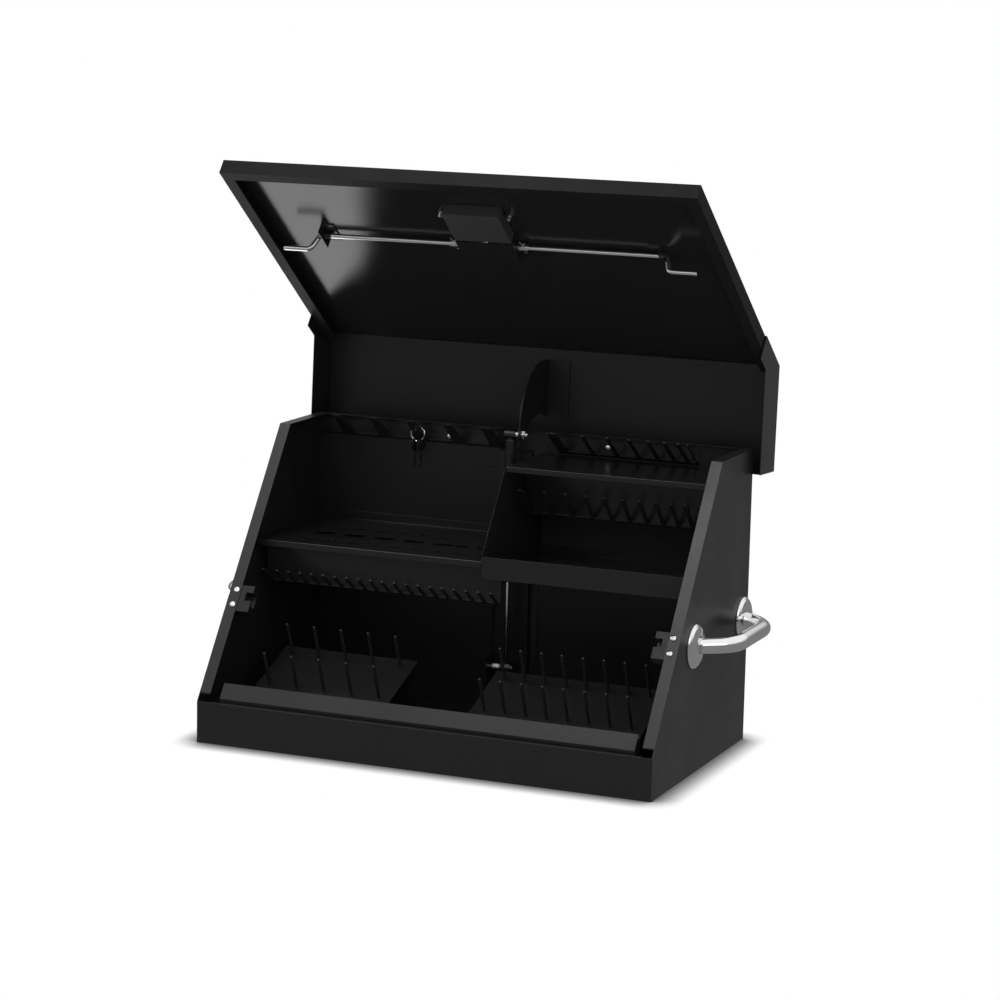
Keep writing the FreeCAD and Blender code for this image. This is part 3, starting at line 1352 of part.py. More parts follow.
def latch_housing():
    """The dished housing of the paddle, let into the front of the lid."""
    face = "(lid_rise + housing_face)"
    half = "housing_half_width"
    low = "(dish_low - housing_margin)"
    length = "(dish_length + 2 * housing_margin)"
    plate = block(f"2 * {half}", length, "housing_face", (f"-{half}", low, "lid_rise"))
    dish_at = ("-dish_half_width", "dish_low", f"{face} - dish_depth - housing_face")
    dish = block("2 * dish_half_width", "dish_length", "dish_depth + housing_face", dish_at)
    inner_half = "(dish_half_width - dish_gauge)"
    inner_at = (f"-{inner_half}", "dish_low + dish_gauge", f"{face} - dish_depth")
    inner = block(f"2 * {inner_half}", "dish_length - 2 * dish_gauge", "dish_depth + 1", inner_at)
    slot_half = "(paddle_tail_half_width + 1.5)"
    slot_at = (f"-{slot_half}", "dish_low + dish_length - dish_gauge - 1", f"{face} - dish_depth")
    slot = block(f"2 * {slot_half}", "dish_gauge + 2", "dish_depth - housing_face - lid_gauge", slot_at)
    pin_at = ("-dish_half_width - 1", PIN_ALONG, PIN_OFF)
    pin = rod("paddle_pin_radius", "2 * dish_half_width + 2", pin_at, "x")
    bolts = []
    for sign in (-1, 1):
        start = (f"{sign} * bolt_across", "bolt_along", "lid_rise - 1")
        bolts.append(rod("bolt_radius", "housing_face + 2", start))
    shell = cut(join(plate, dish), inner, slot, pin, *bolts)
    dish_floor = f"({face} - dish_depth)"
    keeper_low = f"({PIN_ALONG} - lock_from_pin - keeper_length / 2)"
    ledge_low = f"({CAM_OFF} + lock_cam_gauge + face_gap)"
    post_at = ("-keeper_across - keeper_width", keeper_low, dish_floor)
    post = block("keeper_gauge", "keeper_length", f"{ledge_low} + keeper_gauge - {dish_floor}", post_at)
    ledge_at = ("-keeper_across - keeper_width", keeper_low, ledge_low)
    ledge = block("keeper_width", "keeper_length", "keeper_gauge", ledge_at)
    keep(join(shell, post, ledge), "latch_housing", LID_SLOPE)
    pin_length = "2 * dish_half_width"
    solid_pin = rod("paddle_pin_radius", pin_length, ("-dish_half_width", PIN_ALONG, PIN_OFF), "x")
    keep(gather(solid_pin), "paddle_pin", LID_SLOPE)


PIN_ALONG = "(dish_low + dish_length - paddle_pin_from_end)"
PIN_OFF = "(lid_rise - paddle_pin_below)"
CAM_OFF = f"({PIN_OFF} + 1 + paddle_gauge - lock_body - lock_cam_gauge)"
pin_point = Vector(
    0,
    size("dish_low") + size("dish_length") - size("paddle_pin_from_end"),
    size("lid_rise") - size("paddle_pin_below"),
)
PULLED = (
    LID_SLOPE
    * Placement(pin_point, Rotation(along_x, -size("paddle_pull")))
    * Placement(-pin_point, Rotation())
)


def paddle():
    """The pull paddle, drawn pulled out: its tail tips the shaft's lever."""
    half = "paddle_half_width"
    plate_low = f"({PIN_OFF} + 1)"
    plate_at = (f"-{half}", f"{PIN_ALONG} - paddle_length", plate_low)
    plate = block(f"2 * {half}", "paddle_length", "paddle_gauge", plate_at)
    lip_at = (f"-{half}", f"{PIN_ALONG} - paddle_length", f"{plate_low} - 4")
    lip = block(f"2 * {half}", "paddle_gauge", "4", lip_at)
    barrel = rod("paddle_barrel_radius", f"2 * {half}", (f"-{half}", PIN_ALONG, PIN_OFF), "x")
    tail_half = "paddle_tail_half_width"
    tail_at = (f"-{tail_half}", PIN_ALONG, f"{PIN_OFF} - 1.5")
    tail = block(f"2 * {tail_half}", "paddle_tail", "3", tail_at)
    bore_at = (f"-{half} - 1", PIN_ALONG, PIN_OFF)
    bore = rod("paddle_pin_radius + latch_fit", f"2 * {half} + 2", bore_at, "x")
    lock_at = ("0", f"{PIN_ALONG} - lock_from_pin", f"{plate_low} - 5")
    lock_hole = rod("lock_radius + latch_fit", "paddle_gauge + 10", lock_at)
    keep(cut(join(plate, lip, barrel, tail), bore, lock_hole), "latch_paddle", PULLED)
    face = f"({plate_low} + paddle_gauge)"
    at_y = f"{PIN_ALONG} - lock_from_pin"
    cap = rod("lock_face_radius", "1.5", ("0", at_y, face))
    core = rod("lock_radius", "lock_body", ("0", at_y, f"{face} - lock_body"))
    cam_at = ("-lock_radius / 2", at_y, CAM_OFF)
    cam = block("lock_radius", "lock_cam_length", "lock_cam_gauge", cam_at)
    keyway_at = ("-0.6", f"{at_y} - 4", f"{face} - 3")
    keyway = block("1.2", "8", "6", keyway_at)
    keep(cut(join(cap, core, cam), keyway), "key_lock", PULLED)


def housing_bolts():
    """Two bolts through the housing and the lid, with their nuts inside."""
    bolts = []
    for sign in (-1, 1):
        across = f"{sign} * bolt_across"
        inner = "(lid_rise - lid_gauge)"
        start = (across, "bolt_along", f"{inner} - 12")
        shank = prism(FEW, "bolt_radius", "12 + lid_gauge + housing_face", start)
        head_at = (across, "bolt_along", "lid_rise + housing_face")
        head = prism(FEW, "bolt_head_radius", "2.5", head_at)
        nut = prism(6, "bolt_head_radius", "5", (across, "bolt_along", f"{inner} - 5"))
        bolts.append(join(shank, head, nut))
    keep(gather(*bolts), "housing_bolts", LID_SLOPE)


def keys():
    """A split ring over one rack finger, and two keys hanging from it."""
    finger = size("plier_first") + 2 * size("plier_pitch")
    tilt = size("upper_rack_rise") / size("upper_rack_reach")
    ring_y = size("ring_depth")
    back = size("case_depth") - size("case_gauge")
    from_tip = ring_y - (back - size("upper_rack_reach"))
    share = from_tip / (size("upper_rack_reach") - size("upper_rack_land"))
    taper = size("plier_root_width") - size("plier_tip_width")
    half_width = (size("plier_tip_width") + taper * share) / 2
    gauge = size("rack_gauge") * math.sqrt(1 + tilt * tilt)
    top = size("upper_rack_height") + (back - ring_y + size("ring_wire")) * tilt + gauge
    inner = size("ring_radius") - size("ring_wire")
    centre_z = top - math.sqrt(inner * inner - half_width * half_width) + size("face_gap")
    wire = size("ring_wire")
    ring_at = Vector(finger, ring_y - wire, centre_z)
    along_y = Vector(0, 1, 0)
    outer = Part.makeCylinder(size("ring_radius") + wire, 2 * wire, ring_at, along_y)
    ring = outer.cut(Part.makeCylinder(inner, 2 * wire, ring_at, along_y))
    solid_feature(ring, "key_ring", CASE)
    key_side = size("key_gap") / 2 + size("key_gauge")
    wire_top = centre_z - math.sqrt(inner * inner - key_side * key_side)
    hole_z = wire_top + size("face_gap") / 2 - size("key_hole_radius")
    key_solids = []
    for sign in (-1, 1):
        left = sign * (size("key_gap") + size("key_gauge")) / 2 - size("key_gauge") / 2
        head_z = hole_z - size("key_hole_offset")
        radius = size("key_head_radius")
        head = Part.makeCylinder(radius, size("key_gauge"), Vector(left, 0, head_z), along_x)
        length = size("key_blade_length")
        width = size("key_blade_width")
        blade_at = Vector(left + 0.2, -width / 2, head_z - radius - length + 2)
        blade = Part.makeBox(size("key_gauge") - 0.4, width, length, blade_at)
        hole_at = Vector(left - 1, 0, hole_z)
        hole = Part.makeCylinder(size("key_hole_radius"), size("key_gauge") + 2, hole_at, along_x)
        key = head.fuse(blade).cut(hole)
        key.translate(Vector(finger, ring_y, 0))
        key_solids.append(key)
    solid_feature(Part.makeCompound(key_solids), "keys", CASE)


side_panel("left_side_panel", True)
side_panel("right_side_panel", False)
back_panel()
bottom_panel()
front_panel()
back_channel()
plier_rack()
small_tool_rack()
perforated_shelf()
wrench_rack()
divider()
side_tray()
upper_shelf()
driver_rack()
bottom_tray()
peg_rack("left", "left_peg_first", "left_peg_pitch", "left_pegs")
peg_rack("right", "right_peg_first", "right_peg_pitch", "right_pegs")
catch("left", -1)
catch("right", 1)
catch_screws()
handle("left", -1)
handle("right", 1)
handle_bolts()
hinge()
lid_front_panel()
lid_rear_cover()
lid_arm()
upper_stud()
gas_spring()
foot_bracket()
latch_shaft()
couplings()
latch_rod("left", -1)
latch_rod("right", 1)
latch_bracket()
rod_guide("left", -1)
rod_guide("right", 1)
return_spring()
latch_housing()
paddle()
housing_bolts()
keys()

doc.recompute()

for obj in doc.Objects:
    if "Invalid" in obj.State or "Error" in obj.State:
        raise RuntimeError(f"{obj.Label} did not build: {obj.State}")
for obj in sub_parts:
    if obj.Shape.isNull() or not obj.Shape.isValid() or not obj.Shape.Solids:
        raise RuntimeError(f"{obj.Label} has no valid solid")

os.makedirs("parts", exist_ok=True)
for obj in sub_parts:
    obj.Shape.exportStep(f"parts/{obj.Label}.step")
print(f"{len(sub_parts)} sub-parts written")
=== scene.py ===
import math

import bmesh
import bpy
from mathutils import Matrix, Vector


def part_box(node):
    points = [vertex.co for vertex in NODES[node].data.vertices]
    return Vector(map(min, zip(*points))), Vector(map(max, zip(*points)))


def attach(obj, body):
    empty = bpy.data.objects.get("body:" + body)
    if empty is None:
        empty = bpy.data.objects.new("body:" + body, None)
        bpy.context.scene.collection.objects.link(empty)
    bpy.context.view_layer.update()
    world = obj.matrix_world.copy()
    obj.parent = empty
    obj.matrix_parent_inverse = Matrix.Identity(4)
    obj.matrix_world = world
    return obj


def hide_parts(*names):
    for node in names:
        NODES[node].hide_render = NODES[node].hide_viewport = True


bl_info = {
    "name": "Top Tool Chest",
    "version": (1, 0, 0),
    "blender": (4, 5, 0),
    "location": "3D View > Sidebar > Chest",
    "description": "Finishes and fine parts of a black top tool chest with its lid open",
    "category": "Object",
}

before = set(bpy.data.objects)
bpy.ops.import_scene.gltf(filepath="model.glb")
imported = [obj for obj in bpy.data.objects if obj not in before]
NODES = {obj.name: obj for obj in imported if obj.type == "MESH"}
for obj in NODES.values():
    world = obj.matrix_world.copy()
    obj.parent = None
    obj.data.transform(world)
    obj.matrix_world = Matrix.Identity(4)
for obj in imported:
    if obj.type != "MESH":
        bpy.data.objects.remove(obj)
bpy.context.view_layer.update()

# Sizes that the solids' boxes don't give, lengths in metres
SHEET = 0.0012
RACK_SHEET = 0.002
HOUSING_FACE = 0.002
LID_INNER = 0.0245
LID_RETURN_HEIGHT = 0.006
CAM_CLEARANCE = 0.0003
PADDLE_PULL = math.radians(25)

# Places on the sloping edge: across from the middle, and along from its low end, in metres
CATCH_SCREW_ACROSS = 0.369
CATCH_SCREWS_ALONG = (0.16825, 0.19375)
HOUSING_BOLT_ACROSS = 0.057
HOUSING_BOLT_ALONG = 0.104
SLEEVE_ACROSS = 0.050
SPLIT_PIN_ACROSS = 0.058
COIL_ACROSS = -0.2845

# Places on the rear wall (across, up) and on the divider (towards the rear, up), in metres
RACK_SCREWS = ((0.1367, 0.4523), (-0.1424, 0.4480))
CHANNEL_RIVETS = tuple((across, up) for across in (-0.0675, 0.0255) for up in (0.4058, 0.150))
DIVIDER_RIVETS = ((0.0634, 0.4234), (0.1302, 0.2923), (0.0100, 0.2923))

# Directions
ACROSS = (1, 0, 0)
FRONT = (0, -1, 0)
UP = (0, 0, 1)

SIDES = {"left": -1, "right": 1}

# Slots that most pieces share
BLACK = "black_paint"
DARK = "dark_steel"
CHROME = "chrome"

# How nodes are laid out in the editor
NODES_IN_ROW = 9
NODE_WIDTH = 220
NODE_HEIGHT = 260


# Kinds of value that a user may change


def number(name, description, default, **more):
    return bpy.props.FloatProperty(name=name, description=description, default=default, **more)


def length(name, description, default, **more):
    return number(name, description, default, unit="LENGTH", **more)


def angle(name, description, degrees):
    return number(name, description, math.radians(degrees), subtype="ANGLE")


def level(name, description, default, **more):
    return number(name, description, default, min=0, **more)


def tint(name, description, default):
    return bpy.props.FloatVectorProperty(
        name=name, description=description, default=default, subtype="COLOR", size=3, min=0, max=1
    )


class ChestSizes(bpy.types.PropertyGroup):
    """Sizes that the fine parts share with the sheet metal."""

    case_depth: length("Case depth", "Front wall to rear wall", 0.427)
    case_height: length("Case height", "Base to the top edge", 0.471)
    front_height: length("Front height", "Height of the low front wall", 0.066)
    top_depth: length("Top depth", "Depth of the level top edge", 0.147)
    half_width: length("Half width", "Middle to the outer side wall", 0.381)
    hinge_behind: length("Hinge behind", "Hinge axis behind the rear wall", 0.0035)
    hinge_height: length("Hinge height", "Base to the hinge axis", 0.434)
    open_angle: angle("Open angle", "How far the lid stands open", 93.3)
    fold_radius: length("Fold radius", "Outside radius of a folded edge", 0.0018)
    cut_radius: length("Cut radius", "Rounding of a painted cut edge", 0.0005)
    peg_radius: length("Peg radius", "Radius of a socket peg", 0.00275)
    peg_length: length("Peg length", "Plate to the peg's tip", 0.060)
    peg_plate_front: length("Peg plate front", "Front wall to the peg plate", 0.085)
    peg_plate_height: length("Peg plate height", "Base to the plate's low edge", 0.072)
    peg_plate_angle: angle("Peg plate angle", "Slope of the peg plate", 21.8)
    peg_row_front: length("First peg row", "Plate's low edge to the first row", 0.0215)
    peg_row_gap: length("Peg row gap", "First row to the second", 0.086)
    grip_radius: length("Grip radius", "Radius of a side handle's tube", 0.0125)
    grip_reach: length("Grip reach", "Side wall to the middle of the grip", 0.054)
    grip_length: length("Grip length", "Corner to corner of the grip", 0.150)
    grip_bend: length("Grip bend", "Radius of the grip's bends", 0.058)
    rod_radius: length("Rod radius", "Radius of a latch rod", 0.004)
    rod_along: length("Rod along", "Slope's low edge to the latch rods", 0.183)
    rod_off: length("Rod off", "Sloping edge to the latch rods, outwards", 0.016)
    rod_step: length("Rod step", "How far a rod's end is stepped in", 0.027)
    rod_knee: length("Rod knee", "Middle to the start of the step", 0.293)
    rod_slant: length("Rod slant", "Length of the step", 0.010)
    rod_end: length("Rod end", "Middle to the rod's end", 0.348)
    rod_bend: length("Rod bend", "Radius of the rod's bends", 0.009)


class ChestFinish(bpy.types.PropertyGroup):
    """Colours and surface qualities."""

    paint: tint("Paint", "Powder coat of the case and lid", (0.011, 0.011, 0.0115))
    paint_roughness: level("Paint roughness", "Gloss of the powder coat", 0.33, max=1)
    lid_roughness: level("Lid roughness", "Gloss of the lid's smoother sheet", 0.13, max=1)
    peel: length("Orange peel", "Height of the paint's fine texture", 0.00009, precision=6)
    chrome: tint("Chrome", "Plated grips and rods", (0.88, 0.88, 0.89))
    zinc: tint("Zinc", "Plated screws, pins and nuts", (0.82, 0.83, 0.84))
    plastic: tint("Plastic", "Moulded catches and key heads", (0.007, 0.007, 0.0075))


class ChestStage(bpy.types.PropertyGroup):
    """Camera, lamps and floor."""

    focal_length: level("Focal length", "Camera lens", 112.42, unit="CAMERA")
    softbox: level("Softbox", "Power of the large lamp overhead", 27.0, unit="POWER")
    fill: level("Fill", "Power of the side lamp", 3.0, unit="POWER")
    surround: level("Surround", "Brightness of the room's diffuse light", 0.9)
    reflected: level("Reflected", "Brightness of the room in reflections", 0.21)
    ceiling: level("Ceiling", "Brightness of the white ceiling in reflections", 1.0)
    floor_glow: level("Floor glow", "Brightness of the left floor in reflections", 1.9)
    contact: length("Contact", "How far the contact shadow reaches", 0.045)


def sizes():
    return bpy.context.scene.chest_sizes


# Placing and naming


def lid_closed_slope():
    """The sloping edge's own frame: X across, Y up the slope, Z outwards."""
    s = sizes()
    rise = math.atan2(s.case_height - s.front_height, s.case_depth - s.top_depth)
    lift = Matrix.Translation((0, -s.case_depth / 2, s.front_height))
    return lift @ Matrix.Rotation(rise, 4, "X")


def lid_slope():
    """The same frame carried round by the open lid."""
    s = sizes()
    axis = Matrix.Translation((0, s.case_depth / 2 + s.hinge_behind, s.hinge_height))
    turn = Matrix.Rotation(-s.open_angle, 4, "X")
    return axis @ turn @ axis.inverted() @ lid_closed_slope()


def facing(direction, at):
    """A place at a point whose local X axis runs in a direction."""
    turn = Vector(direction).to_track_quat("X", "Z")
    return Matrix.LocRotScale(Vector(at), turn, None)


def settle(piece, body, slot, *nodes):
    """Puts a finished piece on its body and lets it stand for the plain solids."""
    piece.data.transform(piece.matrix_world)
    piece.matrix_world = Matrix.Identity(4)
    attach(piece, body)
    if nodes:
        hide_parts(*nodes)
    return piece


def new_object(name, mesh, *materials):
    piece = bpy.data.objects.new(name, mesh)
    bpy.context.scene.collection.objects.link(piece)
    for material in materials:
        mesh.materials.append(material)
    return piece


def baked(piece):
    """Turns a piece's modifiers into a plain mesh."""
    bpy.context.view_layer.update()
    seen = piece.evaluated_get(bpy.context.evaluated_depsgraph_get())
    mesh = bpy.data.meshes.new_from_object(seen)
    piece.modifiers.clear()
    piece.data = mesh
    mesh.name = piece.name
    return piece


def smooth_by_angle(mesh, degrees=35):
    mesh.shade_smooth()
    mesh.set_sharp_from_angle(angle=math.radians(degrees))


# Finishes


def node(tree, kind, inputs=None, **settings):
    """A node, laid out in rows, whose inputs are linked from sockets or set to values."""
    row, column = divmod(len(tree.nodes), NODES_IN_ROW)
    made = tree.nodes.new(kind)
    made.location = (NODE_WIDTH * column, -NODE_HEIGHT * row)
    for key, value in settings.items():
        setattr(made, key, value)
    for key, value in (inputs or {}).items():
        if isinstance(value, bpy.types.NodeSocket):
            tree.links.new(value, made.inputs[key])
        else:
            made.inputs[key].default_value = value
    return made


def result(tree, kind, inputs=None, **settings):
    """A new node's first output."""
    return node(tree, kind, inputs, **settings).outputs[0]


def noise(tree, place, **values):
    """A noise value read at a place."""
    return node(tree, "ShaderNodeTexNoise", {"Vector": place, **values}).outputs["Fac"]


def noise_bump(tree, shader, layers):
    """Stacks noise heights into the normal, each with its grain, depth and detail, finest last."""
    place = node(tree, "ShaderNodeTexCoord").outputs["Object"]
    below = {}
    for grain, depth, detail in layers:
        height = noise(tree, place, Scale=1 / grain, Detail=detail)
        inputs = {"Strength": 1.0, "Distance": depth, "Height": height, **below}
        below = {"Normal": node(tree, "ShaderNodeBump", inputs).outputs["Normal"]}
    tree.links.new(below["Normal"], shader.inputs["Normal"])
    return place


def spread(tree, source, low, high, first=0.35, last=0.65, **settings):
    """Maps a value's range, at first that of a noise, onto another range."""
    inputs = {"Value": source, "From Min": first, "From Max": last, "To Min": low, "To Max": high}
    return result(tree, "ShaderNodeMapRange", inputs, **settings)


def set_gloss(tree, shader, source, low, high):
    tree.links.new(spread(tree, source, low, high), shader.inputs["Roughness"])


def set_colour(tree, shader, share, first, second):
    """Base colour that runs from one colour to another."""
    inputs = {0: share, 6: (*first, 1), 7: (*second, 1)}
    mix = node(tree, "ShaderNodeMix", inputs, data_type="RGBA")
    tree.links.new(mix.outputs[2], shader.inputs["Base Color"])


def new_finish(name):
    material = bpy.data.materials.new(name)
    material.use_nodes = True
    return material.node_tree, material.node_tree.nodes["Principled BSDF"]


def powder_coat(name, colour, roughness, peel, specular=0.35):
    """Black powder coat: fine orange peel, a slow drift in gloss and a trace of dust specks all over."""
    dust = 0.25
    tree, shader = new_finish(name)
    shader.inputs["Specular IOR Level"].default_value = specular
    place = noise_bump(tree, shader, [(0.0035, peel * 1.4, 2.0), (0.0011, peel, 3.0)])
    drift = noise(tree, place, Scale=9.0, Detail=4.0, Roughness=0.6)
    set_gloss(tree, shader, drift, roughness * 0.88, roughness * 1.12)
    speck = noise(tree, place, Scale=2400.0, Detail=1.0)
    pale = [min(1, c * 2.6 + 0.01) for c in colour]
    set_colour(tree, shader, spread(tree, speck, 0.0, dust, 0.68, 0.80), colour, pale)


def plated(name, colour, low, high, grain=0.02, scratch=0.0):
    """Bright plating whose gloss wanders a little, darker where it is scratched."""
    tree, shader = new_finish(name)
    shader.inputs["Metallic"].default_value = 1.0
    place = noise_bump(tree, shader, [(0.006, 0.00002, 2.0), (0.0006, 0.000003, 1.0)])
    drift = noise(tree, place, Scale=1 / grain, Detail=5.0)
    set_gloss(tree, shader, drift, low, high)
    set_colour(tree, shader, drift, colour, [c * (1 - 0.35 * scratch - 0.08) for c in colour])


def moulded(name, colour, roughness):
    """Moulded plastic with a fine stipple."""
    tree, shader = new_finish(name)
    shader.inputs["Specular IOR Level"].default_value = 0.25
    place = noise_bump(tree, shader, [(0.0008, 0.00003, 2.0)])
    drift = noise(tree, place, Scale=60.0, Detail=3.0)
    set_gloss(tree, shader, drift, roughness * 0.85, roughness * 1.15)
    set_colour(tree, shader, drift, colour, [c * 1.7 for c in colour])


def finish(name):
    """A finish by name, made the first time it is asked for."""
    if name not in bpy.data.materials:
        f = bpy.context.scene.chest_finish
        makers = {
            "Wall powder coat": (powder_coat, f.paint, f.paint_roughness, f.peel),
            "Rack powder coat": (powder_coat, f.paint, 0.24, f.peel * 0.7),
            "Lid powder coat": (powder_coat, f.paint, f.lid_roughness, f.peel, 0.5),
            # Painted shade: the lid's own paint again, rougher and with its specular nearly gone, so the
            # lid's return and side faces read darker
            "Lid return coat": (powder_coat, f.paint, 0.4, f.peel, 0.04),
            "Latch coat": (powder_coat, [3.2 * c for c in f.paint], 0.45, f.peel * 0.5),
            "Black tube": (powder_coat, f.paint, 0.2, f.peel * 0.3),
            "Bright chrome": (plated, f.chrome, 0.03, 0.09),
            "Rod plating": (plated, f.chrome, 0.12, 0.22, 0.004),
            "Zinc plating": (plated, f.zinc, 0.18, 0.34, 0.003, 0.5),
            "Blackened steel": (plated, (0.10, 0.10, 0.105), 0.28, 0.42, 0.004, 0.4),
            "Key nickel": (plated, (0.72, 0.70, 0.66), 0.16, 0.3, 0.002, 0.4),
            "Moulded plastic": (moulded, f.plastic, 0.42),
        }
        maker, *values = makers[name]
        maker(name, *values)
    return bpy.data.materials[name]


# Shapes drawn from their own rules


def rounded_path(corners, bend, steps=8):
    """Corner points joined by straight runs, with an arc at each corner."""
    corners = [Vector(corner) for corner in corners]
    path = [corners[0]]
    for before, corner, after in zip(corners, corners[1:], corners[2:]):
        into = (corner - before).normalized()
        out = (after - corner).normalized()
        turn = into.angle(out)
        start = corner - into * bend * math.tan(turn / 2)
        axis = into.cross(out).normalized()
        centre = start + axis.cross(into) * bend
        for step in range(steps + 1):
            swing = Matrix.Rotation(turn * step / steps, 3, axis)
            path.append(centre + swing @ (start - centre))
    path.append(corners[-1])
    return path


def skinned(name, rings, coat, closed=False, degrees=35):
    """A skin over a row of rings, with a flat lid on each open end."""
    bm = bmesh.new()
    made = [[bm.verts.new(point) for point in ring] for ring in rings]
    following = made[1:] + (made[:1] if closed else [])
    for low, high in zip(made, following):
        count = max(len(low), len(high))
        for i in range(count):
            j = (i + 1) % count
            corners = [low[i % len(low)], low[j % len(low)], high[j % len(high)], high[i % len(high)]]
            corners = list(dict.fromkeys(corners))
            if len(corners) > 2:
                bm.faces.new(corners)
    for ring in (made[0], made[-1]):
        if len(ring) > 2 and not closed:
            bm.faces.new(ring)
    bmesh.ops.recalc_face_normals(bm, faces=bm.faces)
    mesh = bpy.data.meshes.new(name)
    bm.to_mesh(mesh)
    bm.free()
    smooth_by_angle(mesh, degrees)
    return new_object(name, mesh, finish(coat))


def swept(name, path, radius, coat, sides=20):
    """A round bar along a path, with a small chamfer at each end."""
    path = [Vector(point) for point in path]
    pairs = zip(path[:1] + path[:-1], path[1:] + path[-1:])
    ways = [(after - before).normalized() for before, after in pairs]
    stations = [(point, way, radius) for point, way in zip(path, ways)]
    nick = radius * 0.2
    stations[0] = (path[0] + ways[0] * nick, ways[0], radius)
    stations[-1] = (path[-1] - ways[-1] * nick, ways[-1], radius)
    stations.insert(0, (path[0], ways[0], radius - nick))
    stations.append((path[-1], ways[-1], radius - nick))
    side = ways[0].orthogonal().normalized()
    last = ways[0]
    angles = [math.tau * i / sides for i in range(sides)]
    rings = []
    for point, way, reach in stations:
        side = last.rotation_difference(way) @ side
        side = (side - way * side.dot(way)).normalized()
        last = way
        up = way.cross(side)
        rings.append([point + (side * math.cos(a) + up * math.sin(a)) * reach for a in angles])
    return skinned(name, rings, coat)


def turned(name, profile, place, coat, bend=0.0, sides=36):
    """A piece turned about the local X axis of a place, from (along, radius) pairs."""
    points = [Vector((along, out, 0)) for along, out in profile]
    if bend:
        points = rounded_path(points, bend, 3)
    turns = [Matrix.Rotation(math.tau * i / sides, 3, "X") for i in range(sides)]
    rings = []
    for point in points:
        on_axis = point.y < 1e-7
        rings.append([place @ (turn @ point) for turn in (turns[:1] if on_axis else turns)])
    return skinned(name, rings, coat)


def bar(tip, nick):
    """The outline of a round bar whose ends are chamfered to a share of its radius."""
    return lambda radius, run: [
        (0, 0), (0, radius * tip), (nick, radius), (run - nick, radius), (run, radius * tip), (run, 0)
    ]


def turned_in_box(name, source, way, outline, coat, body, slot, sides=36):
    """A turned piece that fills a solid's box along an axis, with the outline that a function draws."""
    low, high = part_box(source)
    middle = (low + high) / 2
    way = Vector(way)
    run = (high - low).dot(way)
    radius = (high - low).dot(way.zyx) / 2
    place = facing(way, middle - way * run / 2)
    settle(turned(name, outline(radius, run), place, coat, 0.0, sides), body, slot, source)


def merged(name, *pieces):
    """One object from several of the same finish."""
    bm = bmesh.new()
    material = pieces[0].data.materials[0]
    for piece in pieces:
        bm.from_mesh(piece.data)
        old = piece.data
        bpy.data.objects.remove(piece)
        bpy.data.meshes.remove(old)
    mesh = bpy.data.meshes.new(name)
    bm.to_mesh(mesh)
    bm.free()
    return new_object(name, mesh, material)


# Node trees for what repeats


class TreeMaker:
    """Adds nodes, inputs and links to a new geometry node tree."""

    def __init__(self, name):
        self.tree = bpy.data.node_groups.new(name, "GeometryNodeTree")
        self.tree.is_modifier = True
        self.face = self.tree.interface
        for way in ("INPUT", "OUTPUT"):
            self.face.new_socket("Geometry", in_out=way, socket_type="NodeSocketGeometry")
        self.entry = node(self.tree, "NodeGroupInput")
        self.exit = node(self.tree, "NodeGroupOutput")
        self.keys = {}

    def sizes(self, **defaults):
        """Named inputs of the tree: a count, a measure, or a material where None is given."""
        kinds = {int: "NodeSocketInt", float: "NodeSocketFloat"}
        for key, default in defaults.items():
            kind = kinds.get(type(default), "NodeSocketMaterial")
            socket = self.face.new_socket(key.replace("_", " "), in_out="INPUT", socket_type=kind)
            if default is not None:
                socket.default_value = default
            self.keys[key] = socket.identifier
        return [self.entry.outputs[key.replace("_", " ")] for key in defaults]

    def add(self, kind, inputs=None, **settings):
        """A new geometry node's first output."""
        return result(self.tree, "GeometryNode" + kind, inputs, **settings)

    def math(self, operation, first, second):
        return result(self.tree, "ShaderNodeMath", {0: first, 1: second}, operation=operation)

    def compare(self, operation, first, second):
        inputs = {0: first, 1: second}
        return result(self.tree, "FunctionNodeCompare", inputs, operation=operation, data_type="FLOAT")

    def vector(self, x=0.0, y=0.0, z=0.0):
        return result(self.tree, "ShaderNodeCombineXYZ", {0: x, 1: y, 2: z})

    def lifted(self, geometry, height):
        inputs = {"Geometry": geometry, "Translation": self.vector(z=height)}
        return self.add("Transform", inputs)

    def place(self):
        """The X, Y and Z of each point."""
        at = self.add("InputPosition")
        return node(self.tree, "ShaderNodeSeparateXYZ", {0: at}).outputs

    def copies(self, points, piece, **turn):
        """A piece on each point."""
        inputs = {"Points": points, "Instance": piece, **turn}
        return self.add("InstanceOnPoints", inputs)

    def close(self, geometry, material):
        """Every tree ends alike: plain geometry, then its finish."""
        plain = self.add("RealizeInstances", {0: geometry})
        dressed = self.add("SetMaterial", {"Geometry": plain, "Material": material})
        self.tree.links.new(dressed, self.exit.inputs[0])
        return self


